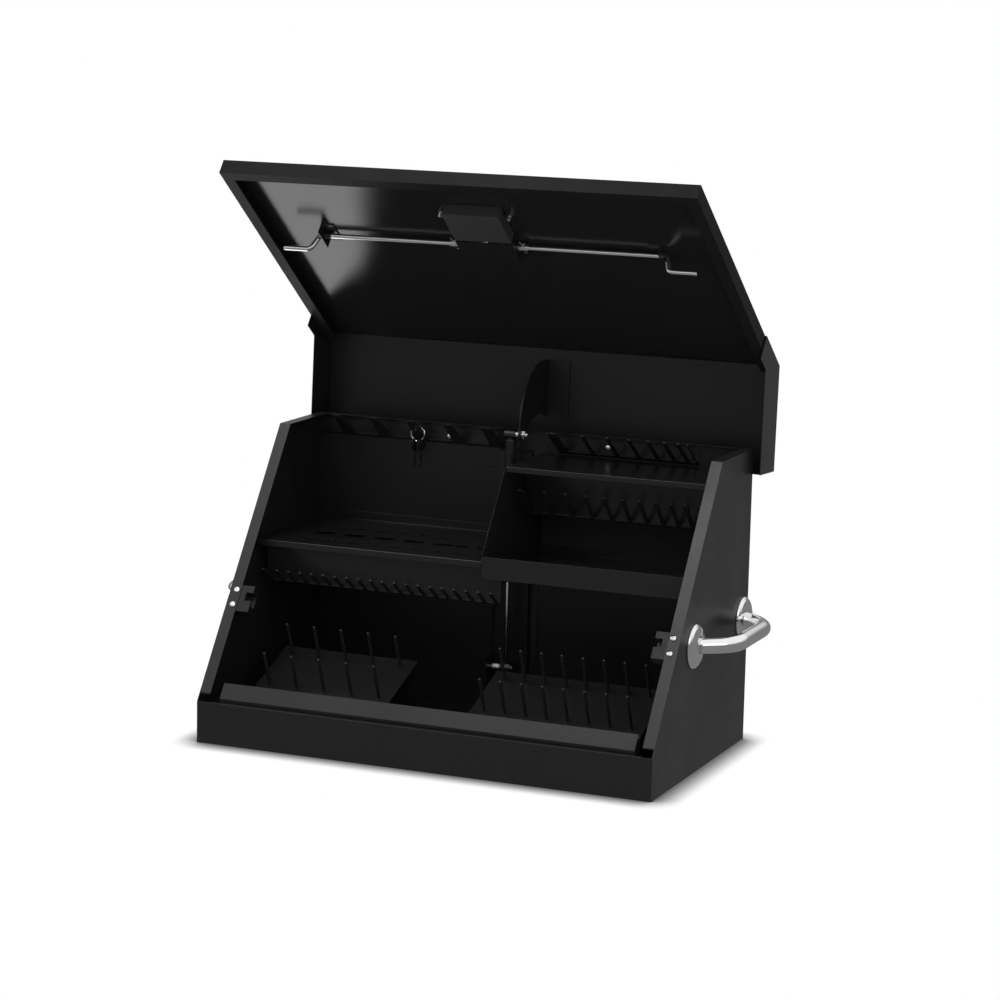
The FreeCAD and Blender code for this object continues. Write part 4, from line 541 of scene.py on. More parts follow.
def peg_tree():
    """Rows of round-ended pegs standing on a grid of points."""
    maker = TreeMaker("Peg rows")
    rows, count, pitch, gap, radius, reach, lean, seed, material = maker.sizes(
        Rows=2, Count=5, Pitch=0.05, Row_gap=0.086, Radius=0.00275, Length=0.06, Lean=0.004, Seed=7,
        Material=None,
    )
    line = maker.add("MeshLine", {"Count": count, "Offset": maker.vector(pitch)})
    across = maker.add("MeshLine", {"Count": rows, "Offset": maker.vector(0.0, gap)})
    grid = maker.add("RealizeInstances", {0: maker.copies(across, line)})
    straight = maker.math("SUBTRACT", reach, radius)
    ball = maker.add("MeshUVSphere", {"Segments": 16, "Rings": 8, "Radius": radius})
    below = maker.compare("LESS_THAN", maker.place()["Z"], -0.00001)
    dome = maker.add("DeleteGeometry", {"Geometry": ball, "Selection": below})
    dome = maker.lifted(dome, straight)
    wall = {"Vertices": 16, "Radius": radius, "Depth": straight}
    stem = maker.add("MeshCylinder", wall, fill_type="NONE")
    stem = maker.lifted(stem, maker.math("MULTIPLY", straight, 0.5))
    both = node(maker.tree, "GeometryNodeJoinGeometry")
    maker.tree.links.new(dome, both.inputs[0])
    maker.tree.links.new(stem, both.inputs[0])
    seam = {"Geometry": both.outputs[0], "Distance": 0.00002}
    peg = maker.add("MergeByDistance", seam)
    away = maker.math("MULTIPLY", lean, -1.0)
    leans = {0: maker.vector(away, away), 1: maker.vector(lean, lean), "Seed": seed}
    tilt = result(maker.tree, "FunctionNodeRandomValue", leans, data_type="FLOAT_VECTOR")
    return maker.close(maker.copies(grid, peg, Rotation=tilt), material)


def fastener_tree():
    """Heads, nuts or rivets on the points of a mesh, each along its point's own direction."""
    maker = TreeMaker("Fasteners")
    sides, radius, height, crown, recess, depth, seed, material = maker.sizes(
        Sides=24, Radius=0.004, Height=0.003, Crown=0.4, Recess=0.0015, Recess_depth=0.001, Seed=3,
        Material=None,
    )
    blank = {"Vertices": sides, "Side Segments": 1, "Fill Segments": 4, "Radius": radius, "Depth": height}
    half = maker.math("MULTIPLY", height, 0.5)
    head = maker.lifted(maker.add("MeshCylinder", blank), half)
    at = maker.place()
    out = maker.math("ADD", maker.math("POWER", at["X"], 2.0), maker.math("POWER", at["Y"], 2.0))
    share = maker.math("DIVIDE", out, maker.math("POWER", radius, 2.0))
    fall = maker.math("MULTIPLY", maker.math("MULTIPLY", share, crown), height)
    drop = maker.vector(z=maker.math("MULTIPLY", fall, -1.0))
    on_top = maker.compare("GREATER_THAN", at["Z"], half)
    crowned = {"Geometry": head, "Selection": on_top, "Offset": drop}
    head = maker.add("SetPosition", crowned)
    bit = {"Vertices": 6, "Radius": recess, "Depth": maker.math("MULTIPLY", depth, 2.0)}
    drill = maker.lifted(maker.add("MeshCylinder", bit), height)
    meshes = {"Mesh 1": head, "Mesh 2": drill}
    drilled = maker.add("MeshBoolean", meshes, operation="DIFFERENCE")
    wanted = maker.compare("GREATER_THAN", recess, 0.0001)
    choice = {"Switch": wanted, "False": head, "True": drilled}
    head = maker.add("Switch", choice, input_type="GEOMETRY")
    named = {"Name": "facing"}
    way = maker.add("InputNamedAttribute", named, data_type="FLOAT_VECTOR")
    upright = result(maker.tree, "FunctionNodeAlignRotationToVector", {"Vector": way}, axis="Z")
    span = {2: 0.0, 3: math.tau, "Seed": seed}
    spin = node(maker.tree, "FunctionNodeRandomValue", span).outputs[1]
    spin = result(maker.tree, "FunctionNodeEulerToRotation", {0: maker.vector(z=spin)})
    turn = result(maker.tree, "FunctionNodeRotateRotation", {0: upright, 1: spin}, rotation_space="LOCAL")
    points = maker.entry.outputs["Geometry"]
    return maker.close(maker.copies(points, head, Rotation=turn), material)


def coil_tree():
    """A close coil about the X axis."""
    maker = TreeMaker("Coil")
    turns, radius, wire, reach, material = maker.sizes(
        Turns=4.5, Radius=0.005, Wire=0.0007, Length=0.011, Material=None
    )
    shape = {"Rotations": turns, "Start Radius": radius, "End Radius": radius, "Height": reach}
    spiral = maker.add("CurveSpiral", {"Resolution": 28, **shape})
    ring = maker.add("CurvePrimitiveCircle", {"Resolution": 10, "Radius": wire})
    skin = {"Curve": spiral, "Profile Curve": ring, "Fill Caps": True}
    coil = maker.add("CurveToMesh", skin)
    laid = {"Geometry": coil, "Rotation": maker.vector(y=math.pi / 2)}
    return maker.close(maker.add("Transform", laid), material)


def grown(name, maker, place, points=((0, 0, 0),), ways=(), degrees=35, **values):
    """A plain mesh from a node tree whose inputs are set by name."""
    mesh = bpy.data.meshes.new(name)
    mesh.from_pydata([Vector(point) for point in points], [], [])
    if ways:
        layer = mesh.attributes.new("facing", "FLOAT_VECTOR", "POINT")
        for item, way in zip(layer.data, ways):
            item.vector = way
    piece = new_object(name, mesh)
    modifier = piece.modifiers.new("Build", "NODES")
    modifier.node_group = maker.tree
    for key, value in values.items():
        modifier[maker.keys[key]] = value
    baked(piece)
    piece.data.transform(place)
    if "facing" in piece.data.attributes:
        piece.data.attributes.remove(piece.data.attributes["facing"])
    smooth_by_angle(piece.data, degrees)
    return piece


def fasteners(name, points, way, coat, body, slot, *nodes, **values):
    """Heads, nuts or rivets at some points, all facing one way or each its own."""
    ways = way if isinstance(way, list) else [way] * len(points)
    here = Matrix.Identity(4)
    heads = grown(name, fastener_tree(), here, points, ways, Material=finish(coat), **values)
    settle(heads, body, slot, *nodes)


# Sheet metal: the solids' own form with its folds and cut edges rounded


def softened(name, source, body, slot, coat, fold=None, cut=None, tidy=True):
    """A copy of a solid whose long folds and thin edges catch the light.

    A sheet full of holes keeps its own triangles, because one face can't go round a hole.
    """
    s = sizes()
    fold = fold or s.fold_radius
    cut = cut or s.cut_radius
    bm = bmesh.new()
    bm.from_mesh(NODES[source].data)
    bmesh.ops.remove_doubles(bm, verts=bm.verts, dist=0.000002)
    if tidy:
        bmesh.ops.dissolve_limit(
            bm, angle_limit=math.radians(0.8), use_dissolve_boundaries=False,
            verts=bm.verts, edges=bm.edges, delimit={"NORMAL"},
        )
    weight = bm.edges.layers.float.new("bevel_weight_edge")
    for edge in bm.edges:
        if len(edge.link_faces) != 2 or edge.calc_face_angle(0) < math.radians(24):
            continue
        run = max(edge.calc_length(), 1e-6)
        breadth = min(face.calc_area() / run for face in edge.link_faces)
        edge[weight] = 1.0 if breadth > 0.0035 and run > 0.012 else cut / fold
    mesh = bpy.data.meshes.new(name)
    bm.to_mesh(mesh)
    bm.free()
    piece = new_object(name, mesh, finish(coat))
    smooth_by_angle(mesh, 24)
    bevel = piece.modifiers.new("Edges", "BEVEL")
    bevel.limit_method = "WEIGHT"
    bevel.width = fold
    bevel.segments = 2
    bevel.use_clamp_overlap = True
    bevel.harden_normals = True
    bevel.miter_outer = "MITER_ARC"
    return settle(baked(piece), body, slot, source)


class CHEST_OT_case_sheets(bpy.types.Operator):
    """Case walls, floor and stiffener with rounded folds"""

    bl_idname = "chest.case_sheets"
    bl_label = "Case sheets"

    def execute(self, context):
        walls = ("left_side_panel", "right_side_panel", "back_panel", "bottom_panel", "front_panel")
        for wall in (*walls, "back_channel"):
            softened(wall + "_sheet", wall, "case", BLACK, "Wall powder coat")
        return {"FINISHED"}


class CHEST_OT_racks(bpy.types.Operator):
    """Shelves, tray, finger racks and the sloping peg beds"""

    bl_idname = "chest.racks"
    bl_label = "Racks and shelves"

    def execute(self, context):
        sheets = (
            "plier_rack", "small_tool_rack", "perforated_shelf", "wrench_rack", "divider",
            "side_tray", "upper_shelf", "driver_rack", "bottom_tray", "left_peg_rack",
            "right_peg_rack",
        )
        for sheet in sheets:
            softened(
                sheet + "_sheet", sheet, "case", BLACK, "Rack powder coat", 0.0012, 0.0006,
                tidy=sheet != "perforated_shelf",
            )
        return {"FINISHED"}


class CHEST_OT_lid_sheets(bpy.types.Operator):
    """Lid pan, rear cover and the arm that the gas spring lifts"""

    bl_idname = "chest.lid_sheets"
    bl_label = "Lid sheets"

    def execute(self, context):
        pan = softened("lid_pan_sheet", "lid_front_panel", "lid", BLACK, "Lid powder coat")
        # Second finish: the shaded copy of the lid's paint, painted shade on the return and side faces
        pan.data.materials.append(finish("Lid return coat"))
        into_slope = lid_slope().inverted()
        for face in pan.data.polygons:
            on_return = (into_slope @ face.center).z < LID_RETURN_HEIGHT
            on_side = abs((into_slope.to_3x3() @ face.normal).z) < 0.9
            if on_return or on_side:
                face.material_index = 1
        coat = "Wall powder coat"
        softened("lid_cover_sheet", "lid_rear_cover", "lid", BLACK, coat)
        softened("lid_arm_sheet", "lid_arm", "lid", BLACK, coat, 0.0005)
        return {"FINISHED"}


class CHEST_OT_pegs(bpy.types.Operator):
    """Two rows of round-ended pegs on each sloping plate"""

    bl_idname = "chest.pegs"
    bl_label = "Pegs"

    def execute(self, context):
        s = sizes()
        tree = peg_tree()
        lift = Matrix.Translation((0, s.peg_plate_front - s.case_depth / 2, s.peg_plate_height))
        plate = lift @ Matrix.Rotation(s.peg_plate_angle, 4, "X")
        for side, count in (("left", 5), ("right", 8)):
            low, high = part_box(side + "_rack_pegs")
            first = low.x + s.peg_radius
            pitch = (high.x - low.x - 2 * s.peg_radius) / (count - 1)
            pegs = grown(
                side + "_pegs", tree, plate @ Matrix.Translation((first, s.peg_row_front, 0)),
                degrees=50, Rows=2, Count=count, Pitch=pitch, Row_gap=s.peg_row_gap,
                Radius=s.peg_radius, Length=s.peg_length, Lean=0.003, Seed=count,
                Material=finish("Rack powder coat"),
            )
            settle(pegs, "case", BLACK, side + "_rack_pegs")
        return {"FINISHED"}


def handle_bolts(s):
    """Six-sided heads inside the walls, one behind each flange."""
    low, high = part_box("handle_bolts")
    radius = (high.z - low.z) / 2
    flat = radius * math.cos(math.pi / 6)
    z = (low.z + high.z) / 2
    points = []
    ways = []
    for sign in (-1, 1):
        for y in (low.y + flat, high.y - flat):
            points.append((sign * (s.half_width - SHEET), y, z))
            ways.append((-sign, 0, 0))
    fasteners(
        "handle_bolt_heads", points, ways, "Zinc plating", "case", CHROME, "handle_bolts",
        Sides=6, Radius=radius, Height=0.004, Crown=0.12, Recess=0.0, Seed=2,
    )


class CHEST_OT_handles(bpy.types.Operator):
    """Bowed chrome grips, their domed flanges and the bolts inside"""

    bl_idname = "chest.handles"
    bl_label = "Handles"

    def execute(self, context):
        s = sizes()
        chrome = "Bright chrome"
        for side, sign in SIDES.items():
            low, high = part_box(side + "_handle_flanges")
            middle = (low + high) / 2
            radius = (high.z - low.z) / 2
            half = (high.y - low.y) / 2 - radius
            corners = [
                (sign * (s.half_width + reach), middle.y + along, middle.z)
                for reach, along in (
                    (0.006, 0.005 - half), (s.grip_reach, -s.grip_length / 2),
                    (s.grip_reach, s.grip_length / 2), (0.006, half - 0.005),
                )
            ]
            grip = swept(side + "_grip", rounded_path(corners, s.grip_bend, 14), s.grip_radius, chrome, 40)
            settle(grip, "case", CHROME, side + "_handle")
            thick = high.x - low.x
            profile = [
                (0, 0), (0, radius), (0.0024, radius), (0.0042, radius * 0.965),
                (thick * 0.62, radius * 0.87), (thick * 0.82, radius * 0.72),
                (thick * 0.95, radius * 0.54), (thick, radius * 0.40), (thick, 0),
            ]
            domes = []
            for end in (-1, 1):
                place = facing((sign, 0, 0), (sign * s.half_width, middle.y + end * half, middle.z))
                domes.append(turned(side + "_dome", profile, place, chrome, 0.0004, 64))
            settle(merged(side + "_domes", *domes), "case", CHROME, side + "_handle_flanges")
        handle_bolts(s)
        return {"FINISHED"}


class CHEST_OT_catches(bpy.types.Operator):
    """Catches behind the sloping flanges, and their button-head screws"""

    bl_idname = "chest.catches"
    bl_label = "Catches"

    def execute(self, context):
        coat = "Moulded plastic"
        for name in ("left_catch", "right_catch"):
            softened(name + "_block", name, "case", DARK, coat, 0.0016, 0.0004)
        slope = lid_closed_slope()
        points = [
            slope @ Vector((sign * CATCH_SCREW_ACROSS, along, 0))
            for sign in (-1, 1) for along in CATCH_SCREWS_ALONG
        ]
        outwards = slope.to_3x3() @ Vector(UP)
        fasteners(
            "catch_screw_heads", points, outwards, "Bright chrome", "case", CHROME, "catch_screws",
            Sides=28, Radius=0.0046, Height=0.0028, Crown=0.45, Recess=0.0019, Recess_depth=0.0014,
            Seed=5,
        )
        return {"FINISHED"}


def finger_tips(rack):
    """The top front corner of each of a rack's fingers."""
    inset = 0.0006
    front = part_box(rack)[0].y
    corners = [v.co.copy() for v in NODES[rack].data.vertices if v.co.y < front + inset]
    edges = sorted({round(corner.x, 4) for corner in corners})
    top = max(corner.z for corner in corners)
    return [((a + b) / 2, front, top - inset) for a, b in zip(edges[::2], edges[1::2])]


def dome_row(
    name, points, way, radius, height, crown, seed, coat="Rack powder coat", slot=BLACK
):
    fasteners(
        name, points, way, coat, "case", slot,
        Sides=20, Radius=radius, Height=height, Crown=crown, Recess=0.0, Seed=seed,
    )


class CHEST_OT_fixings(bpy.types.Operator):
    """Screws and rivets of the racks and the hinge, and metal beads that paint highlights on the rack
    finger tips
    """

    bl_idname = "chest.fixings"
    bl_label = "Screws and rivets"

    def execute(self, context):
        rear = sizes().case_depth / 2 - SHEET
        points = [(x, rear - RACK_SHEET, z) for x, z in RACK_SCREWS]
        dome_row("rack_screws", points, FRONT, 0.0042, 0.0024, 0.6, 11, "Zinc plating", CHROME)
        points = [(x, rear, z) for x, z in CHANNEL_RIVETS]
        dome_row("wall_rivets", points, FRONT, 0.0022, 0.0012, 0.7, 12)
        points = [(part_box("divider")[1].x, y, z) for y, z in DIVIDER_RIVETS]
        dome_row("divider_rivets", points, ACROSS, 0.0026, 0.0012, 0.7, 13)
        # Painted highlight: blackened steel beads on the finger tips of the painted racks, so the tips
        # show bright dots
        for seed, rack in enumerate(("wrench_rack", "driver_rack", "small_tool_rack"), 20):
            dome_row(
                rack + "_tips", finger_tips(rack), (0, -0.75, 0.66), 0.0019, 0.0016, 0.85, seed,
                "Blackened steel", DARK,
            )
        low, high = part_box("hinge_leaf_case")
        count = 9
        margin = 0.03
        pitch = (high.x - low.x - 2 * margin) / (count - 1)
        at = low + Vector((margin, 0.0015, 0.010))
        points = [at + Vector((pitch * i, 0, 0)) for i in range(count)]
        dome_row("hinge_rivets", points, (0, 1, 0), 0.0030, 0.0013, 0.7, 14)
        return {"FINISHED"}


def split_pin(place, zinc):
    """Two wires side by side through a sleeve: an eye at one end, spread legs at the other."""
    wires = []
    for side in (-1, 1):
        leg = [
            (side * 0.0052, -0.0145, -0.001 * side), (side * 0.0008, -0.0082, 0),
            (side * 0.0006, 0.0072, 0), (side * 0.0030, 0.0100, 0),
            (side * 0.0028, 0.0125, 0), (0, 0.0140, 0),
        ]
        path = [place @ point for point in rounded_path(leg, 0.0012, 4)]
        wires.append(swept("Wire", path, 0.0009, zinc, 8))
    return wires


def return_coil(s, slope):
    """A wound wire about the left rod, and its leg along the lid."""
    dark = "Blackened steel"
    radius, wire = 0.0051, 0.0006
    start = slope @ Matrix.Translation((COIL_ACROSS, s.rod_along, s.rod_off))
    turns = grown(
        "Coil", coil_tree(), start, degrees=60,
        Turns=7.5, Radius=radius, Wire=wire, Length=0.0110, Material=finish(dark),
    )
    on_lid = LID_INNER - s.rod_off - 2 * wire
    leg = [(0.0108, radius, 0), (0.0112, radius, on_lid), (0.0112, -0.012, on_lid)]
    path = [start @ point for point in rounded_path(leg, 0.0015, 5)]
    leg = swept("Leg", path, wire, dark, 10)
    settle(merged("return_coil", turns, leg), "lid", DARK, "return_spring")


class CHEST_OT_latch(bpy.types.Operator):
    """Latch shaft, stepped rods, sleeves, split pins, guides, bracket and return coil"""

    bl_idname = "chest.latch"
    bl_label = "Latch rods"

    def execute(self, context):
        s = sizes()
        slope = lid_slope()
        zinc = "Zinc plating"
        coat = "Rack powder coat"
        deep = s.rod_off - s.rod_step
        sleeves = []
        pins = []
        for side, sign in SIDES.items():
            corners = [
                (sign * across, s.rod_along, off)
                for across, off in (
                    (SLEEVE_ACROSS + 0.0002, s.rod_off), (s.rod_knee, s.rod_off),
                    (s.rod_knee + s.rod_slant, deep), (s.rod_end, deep),
                )
            ]
            path = [slope @ point for point in rounded_path(corners, s.rod_bend, 10)]
            rod = swept(side + "_rod", path, s.rod_radius, "Rod plating", 24)
            settle(rod, "latch_shaft", CHROME, side + "_latch_rod")
            guide = side + "_rod_guide"
            softened(guide + "_plate", guide, "lid", DARK, coat, 0.0007, 0.0004)
        for sign in (-1, 1):
            start = slope @ Matrix.Translation((sign * SLEEVE_ACROSS, s.rod_along, s.rod_off))
            place = start @ Matrix.Rotation(0 if sign > 0 else math.pi, 4, "Z")
            profile = [(0, 0), (0, 0.0054), (0.0006, 0.006), (0.0050, 0.006), (0.0054, 0.0056),
                       (0.0058, 0.006), (0.0154, 0.006), (0.016, 0.0054), (0.016, 0)]
            sleeves.append(turned("Sleeve", profile, place, zinc, 0.0, 32))
            middle = Matrix.Translation((sign * SPLIT_PIN_ACROSS, s.rod_along, s.rod_off))
            pins += split_pin(slope @ middle, zinc)
        settle(merged("rod_sleeves", *sleeves), "latch_shaft", CHROME, "rod_couplings")
        settle(merged("split_pin_wires", *pins), "latch_shaft", CHROME, "split_pins")
        softened("latch_lever", "latch_shaft", "latch_shaft", CHROME, zinc, 0.0004, 0.0003)
        softened("latch_channel", "latch_bracket", "lid", DARK, coat, 0.0008, 0.0004)
        return_coil(s, slope)
        return {"FINISHED"}


def clear_of_post(core):
    """The cam's end stops just short of the keeper's post when the lock is turned."""
    way = lid_slope().to_3x3() @ Matrix.Rotation(-PADDLE_PULL, 3, "X") @ Vector((0, 1, 0))
    tip = max(vertex.co.dot(way) for vertex in core.data.vertices)
    for vertex in core.data.vertices:
        if tip - vertex.co.dot(way) < 0.001:
            vertex.co -= way * CAM_CLEARANCE


def housing_bolts():
    """Threaded tails and nuts inside the lid, button heads outside."""
    slope = lid_slope()
    inward = slope.to_3x3() @ Vector((0, 0, -1))
    through = SHEET + HOUSING_FACE
    inner, outer = (
        [
            slope @ Vector((sign * HOUSING_BOLT_ACROSS, HOUSING_BOLT_ALONG, height))
            for sign in (-1, 1)
        ]
        for height in (LID_INNER, LID_INNER + through)
    )
    core, crest, threads = 0.0026, 0.003, 12
    run = through + 0.012
    start = through + 0.0052
    step = (run - start - 0.0006) / threads
    profile = [(0, 0), (0, crest)]
    for i in range(threads):
        profile += [(start + step * i, core), (start + step * (i + 0.5), crest)]
    profile += [(run - 0.0004, core), (run, 0.0021), (run, 0)]
    zinc = "Zinc plating"
    tails = [turned("Tail", profile, facing(inward, at), zinc, 0.0, 24) for at in outer]
    settle(merged("housing_bolt_tails", *tails), "lid", CHROME, "housing_bolts")
    fasteners(
        "housing_nuts", inner, inward, zinc, "lid", CHROME,
        Sides=6, Radius=0.0058, Height=0.005, Crown=0.08, Recess=0.0, Seed=8,
    )
    fasteners(
        "housing_bolt_heads", outer, -inward, zinc, "lid", CHROME,
        Sides=24, Radius=0.0055, Height=0.0025, Crown=0.5, Recess=0.002, Recess_depth=0.0012, Seed=9,
    )


class CHEST_OT_paddle(bpy.types.Operator):
    """Paddle housing in the lid, the paddle, its lock, pin, bolts and nuts"""

    bl_idname = "chest.paddle"
    bl_label = "Paddle latch"

    def execute(self, context):
        coat = "Latch coat"
        softened("paddle_housing", "latch_housing", "lid", DARK, coat, 0.0014, 0.0004)
        softened("paddle_plate", "latch_paddle", "paddle", DARK, coat, 0.0012, 0.0004)
        core = softened("lock_core", "key_lock", "lock", CHROME, "Bright chrome", 0.0005, 0.0002)
        clear_of_post(core)
        pin = bar(0.7, 0.0005)
        turned_in_box("paddle_pin_rod", "paddle_pin", ACROSS, pin, "Zinc plating", "lid", CHROME)
        housing_bolts()
        return {"FINISHED"}


def tube_outline(radius, run):
    """Rolled in over the guide at its mouth, and to a shoulder at its head."""
    return [
        (0.0004, 0.0044), (0, 0.0052), (0, radius - 0.0022), (0.0005, radius - 0.0009),
        (0.0016, radius - 0.0001), (0.0028, radius), (0.0100, radius), (0.0106, radius - 0.0006),
        (0.0116, radius - 0.0006), (0.0122, radius), (run - 0.0034, radius),
        (run - 0.0018, radius - 0.0003), (run - 0.0005, radius - 0.0014),
        (run, radius - 0.0034), (run, 0),
    ]


class CHEST_OT_gas_spring(bpy.types.Operator):
    """Gas spring with its crimped tube, bright rod, eyes and studs"""

    bl_idname = "chest.gas_spring"
    bl_label = "Gas spring"

    def execute(self, context):
        turned_in_box(
            "gas_tube", "gas_spring_tube", UP, tube_outline, "Black tube", "spring_tube", DARK, 48
        )
        turned_in_box(
            "gas_rod", "gas_spring_rod", UP, bar(0.8, 0.0008), "Rod plating", "spring_rod", CHROME, 48
        )
        dark = "Blackened steel"
        softened("upper_eye", "gas_spring_upper_eye", "spring_tube", DARK, dark, 0.0008)
        softened("lower_eye", "gas_spring_lower_eye", "spring_rod", DARK, dark, 0.0008)
        softened("arm_stud", "upper_stud", "lid", CHROME, "Zinc plating", 0.0004, 0.0003)
        softened("foot_stud", "lower_stud", "case", CHROME, "Zinc plating", 0.0004, 0.0003)
        coat = "Rack powder coat"
        softened("foot_bracket_plate", "foot_bracket", "case", BLACK, coat, 0.0007)
        return {"FINISHED"}


class CHEST_OT_hinge(bpy.types.Operator):
    """Long pin hinge: both leaves and the pin"""

    bl_idname = "chest.hinge"
    bl_label = "Hinge"

    def execute(self, context):
        coat = "Rack powder coat"
        softened("hinge_case_leaf", "hinge_leaf_case", "case", BLACK, coat, 0.0004, 0.0003)
        softened("hinge_lid_leaf", "hinge_leaf_lid", "lid", BLACK, coat, 0.0004, 0.0003)
        pin = bar(0.6, 0.0006)
        turned_in_box("hinge_pin_rod", "hinge_pin", ACROSS, pin, "Blackened steel", "case", DARK)
        return {"FINISHED"}


def split_ring(centre, radius, wire):
    """Two turns of wire that change sides over a short stretch."""
    turns = 2
    steps = 48 * turns
    path = []
    for i in range(steps + 1):
        a = math.tau * turns * i / steps + 0.6
        crossed = min(1.0, max(0.0, (i / steps - 0.44) / 0.12))
        lift = 0.0009 * (2 * crossed - 1)
        path.append(centre + Vector((math.cos(a) * radius, lift, math.sin(a) * radius)))
    ring = swept("split_ring", path, wire, "Bright chrome", 10)
    settle(ring, "keys", CHROME, "key_ring")


def key_head(place):
    """A moulded bow with a rounded outline, a chamfered rim and a hole."""
    steps, half, rim, hole = 40, 0.0014, 0.0005, 0.0027
    circle = [(math.cos(math.tau * i / steps), math.sin(math.tau * i / steps)) for i in range(steps)]
    rings = []
    for x, inset in ((-half, rim), (rim - half, 0), (half - rim, 0), (half, rim)):
        ring = []
        for y, z in circle:
            reach = (abs(y / 0.0092) ** 3 + abs(z / 0.0098) ** 3) ** (-1 / 3) - inset
            ring.append(place @ Vector((x, y * reach, z * reach - 0.0058)))
        rings.append(ring)
    for x in (half, -half):
        rings.append([place @ Vector((x, y * hole, z * hole - 0.0005)) for y, z in circle])
    return skinned("Head", rings, "Moulded plastic", closed=True, degrees=50)


def key_blade(place):
    """A flat blade with cuts along one edge."""
    back, end, edge, gauge = -0.0034, -0.0430, 0.0028, 0.0018
    profile = [(back, -0.013), (back, end + 0.003), (-0.0012, end), (0.0006, end)]
    z = -0.0412
    for depth in (0.0009, 0.0020, 0.0004, 0.0016, 0.0010):
        profile += [(edge, z), (edge - depth, z + 0.0017), (edge - depth, z + 0.0026)]
        z += 0.0042
    profile += [(edge, z), (-back, z + 0.001), (-back, -0.013)]
    rings = [[place @ Vector((x, y, z)) for y, z in profile] for x in (-gauge / 2, gauge / 2)]
    return skinned("Blade", rings, "Key nickel")


class CHEST_OT_keys(bpy.types.Operator):
    """Split ring on the rack's finger with two black-headed keys"""

    bl_idname = "chest.keys"
    bl_label = "Keys"

    def execute(self, context):
        low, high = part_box("key_ring")
        centre = (low + high) / 2
        wire = 0.0008
        radius = (high.z - low.z) / 2 - 0.001
        split_ring(centre, radius, wire)
        heads = []
        blades = []
        for across, yaw in ((-0.0052, -20), (0.0060, -26)):
            drop = math.sqrt(radius * radius - across * across)
            hole = centre + Vector((across, 0, -drop - 0.0015))
            place = Matrix.Translation(hole) @ Matrix.Rotation(math.radians(yaw), 4, "Z")
            heads.append(key_head(place))
            blades.append(key_blade(place))
        settle(merged("key_heads", *heads), "keys", "key_head", "keys")
        settle(merged("key_blades", *blades), "keys", CHROME)
        return {"FINISHED"}


def front_camera(stage):
    """The view that the case's straight edges in the photograph give."""
    data = bpy.data.cameras.new("Front camera")
    data.lens = stage.focal_length
    data.sensor_width = 36.0
    camera = new_object("Front camera", data)
    right = Vector((0.920608, 0.389893, 0.021547))
    up = Vector((-0.088005, 0.153403, 0.984237))
    back = Vector((0.380442, -0.907993, 0.175536))
    turn = Matrix((right, up, back)).transposed()
    camera.matrix_world = Matrix.LocRotScale(Vector((1.89655, -4.43502, 1.24859)), turn, None)
    bpy.context.scene.camera = camera


def white_floor(stage):
    """White to the camera but for a contact shadow; in reflections bright at the left rear only."""
    half, drop = 30.0, -0.0004
    left, rear = (-0.20, -0.55), (-0.25, 0.05)
    white = (1, 1, 1, 1)
    mesh = bpy.data.meshes.new("Floor")
    corners = [(-half, -half, drop), (half, -half, drop), (half, half, drop), (-half, half, drop)]
    mesh.from_pydata(corners, [], [(0, 1, 2, 3)])
    material = bpy.data.materials.new("White floor")
    material.use_nodes = True
    tree = material.node_tree
    tree.nodes.clear()
    matt = result(tree, "ShaderNodeBsdfDiffuse", {"Color": (0.8, 0.8, 0.8, 1)})
    # Painted shadow: the floor's glow to the camera is dimmed by ambient occlusion near the chest, not by
    # the lamps
    contact = node(tree, "ShaderNodeAmbientOcclusion", {"Distance": stage.contact}, samples=16)
    cubed = {0: contact.outputs["AO"], 1: 3.0}
    shadow = result(tree, "ShaderNodeMath", cubed, operation="POWER")
    bright = result(tree, "ShaderNodeEmission", {"Color": white, "Strength": shadow})
    place = node(tree, "ShaderNodeTexCoord").outputs["Object"]
    ways = node(tree, "ShaderNodeSeparateXYZ", {0: place}).outputs
    beside = spread(tree, ways["X"], 0.0, 1.0, *left)
    behind = spread(tree, ways["Y"], 0.0, 1.0, *rear)
    patch = result(tree, "ShaderNodeMath", {0: beside, 1: behind}, operation="MULTIPLY")
    glow = spread(tree, patch, stage.reflected, stage.floor_glow, 0.0, 1.0)
    mirrored = result(tree, "ShaderNodeEmission", {"Color": white, "Strength": glow})
    path = node(tree, "ShaderNodeLightPath").outputs
    dim = result(tree, "ShaderNodeMixShader", {0: path["Is Glossy Ray"], 1: matt, 2: mirrored})
    seen = result(tree, "ShaderNodeMixShader", {0: path["Is Camera Ray"], 1: dim, 2: bright})
    node(tree, "ShaderNodeOutputMaterial", {"Surface": seen})
    new_object("Floor", mesh, material)


def white_room(stage):
    """White behind everything; in reflections a dim room under a white ceiling."""
    world = bpy.data.worlds.new("White room")
    bpy.context.scene.world = world
    world.use_nodes = True
    tree = world.node_tree
    background = tree.nodes["Background"]
    background.inputs["Color"].default_value = (1, 1, 1, 1)
    path = node(tree, "ShaderNodeLightPath").outputs
    way = node(tree, "ShaderNodeTexCoord").outputs["Generated"]
    rise = node(tree, "ShaderNodeSeparateXYZ", {0: way}).outputs["Z"]
    walls_end, full = 0.16, 0.50
    ceiling = spread(
        tree, rise, stage.reflected, stage.ceiling, walls_end, full, interpolation_type="SMOOTHSTEP"
    )
    inputs = {0: path["Is Glossy Ray"], 2: stage.surround, 3: ceiling}
    room = result(tree, "ShaderNodeMix", inputs, data_type="FLOAT")
    inputs = {0: path["Is Camera Ray"], 2: room, 3: 1.0}
    seen = result(tree, "ShaderNodeMix", inputs, data_type="FLOAT")
    tree.links.new(seen, background.inputs["Strength"])


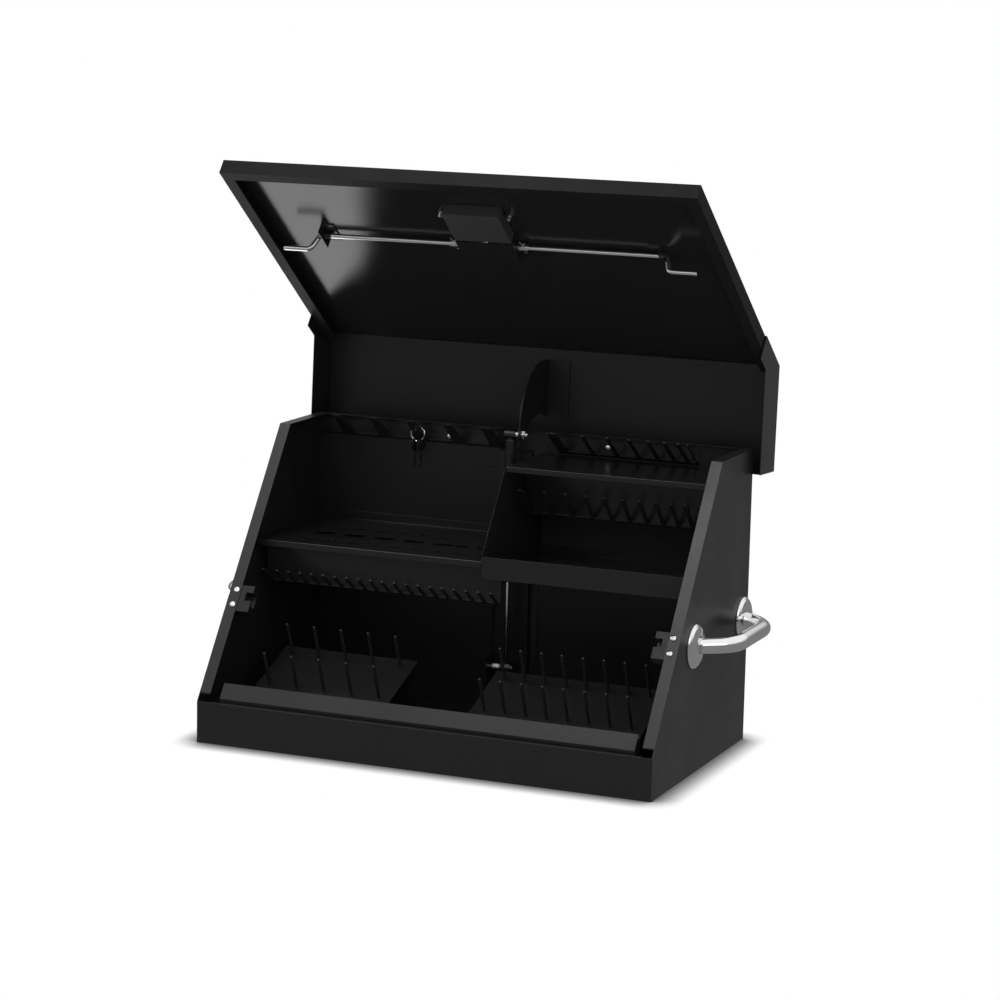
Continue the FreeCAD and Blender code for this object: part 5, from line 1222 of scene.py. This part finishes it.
def soft_lamp(name, place, width, power):
    """A round soft lamp turned to the middle of the chest."""
    data = bpy.data.lights.new(name, "AREA")
    data.shape = "DISK"
    data.size = width
    data.energy = power
    lamp = new_object(name, data)
    lamp.location = place
    way = Vector((0, 0, 0.3)) - Vector(place)
    lamp.rotation_euler = way.to_track_quat("-Z", "Y").to_euler()


class CHEST_OT_stage(bpy.types.Operator):
    """White sweep, soft lamps and the camera"""

    bl_idname = "chest.stage"
    bl_label = "Stage"

    def execute(self, context):
        stage = context.scene.chest_stage
        context.scene.view_settings.view_transform = "Standard"
        white_floor(stage)
        white_room(stage)
        soft_lamp("Overhead softbox", (-0.9, -1.15, 3.1), 1.1, stage.softbox)
        soft_lamp("Side softbox", (2.6, -1.2, 1.5), 1.4, stage.fill)
        front_camera(stage)
        return {"FINISHED"}


OPERATORS = (
    CHEST_OT_case_sheets,
    CHEST_OT_racks,
    CHEST_OT_lid_sheets,
    CHEST_OT_pegs,
    CHEST_OT_handles,
    CHEST_OT_catches,
    CHEST_OT_fixings,
    CHEST_OT_latch,
    CHEST_OT_paddle,
    CHEST_OT_gas_spring,
    CHEST_OT_hinge,
    CHEST_OT_keys,
    CHEST_OT_stage,
)


class CHEST_PT_panel(bpy.types.Panel):
    """Lists the chest's pieces in the sidebar"""

    bl_label = "Top tool chest"
    bl_space_type = "VIEW_3D"
    bl_region_type = "UI"
    bl_category = "Chest"

    def draw(self, context):
        for operator in OPERATORS:
            self.layout.operator(operator.bl_idname)


GROUPS = {
    "chest_sizes": ChestSizes,
    "chest_finish": ChestFinish,
    "chest_stage": ChestStage,
}


def register():
    for made in (*GROUPS.values(), *OPERATORS, CHEST_PT_panel):
        bpy.utils.register_class(made)
    for name, group in GROUPS.items():
        setattr(bpy.types.Scene, name, bpy.props.PointerProperty(type=group))


def unregister():
    for name in GROUPS:
        delattr(bpy.types.Scene, name)
    for made in reversed((*GROUPS.values(), *OPERATORS, CHEST_PT_panel)):
        bpy.utils.unregister_class(made)


def main():
    register()
    for operator in OPERATORS:
        group, name = operator.bl_idname.split(".")
        getattr(getattr(bpy.ops, group), name)()


if __name__ == "__main__":
    main()
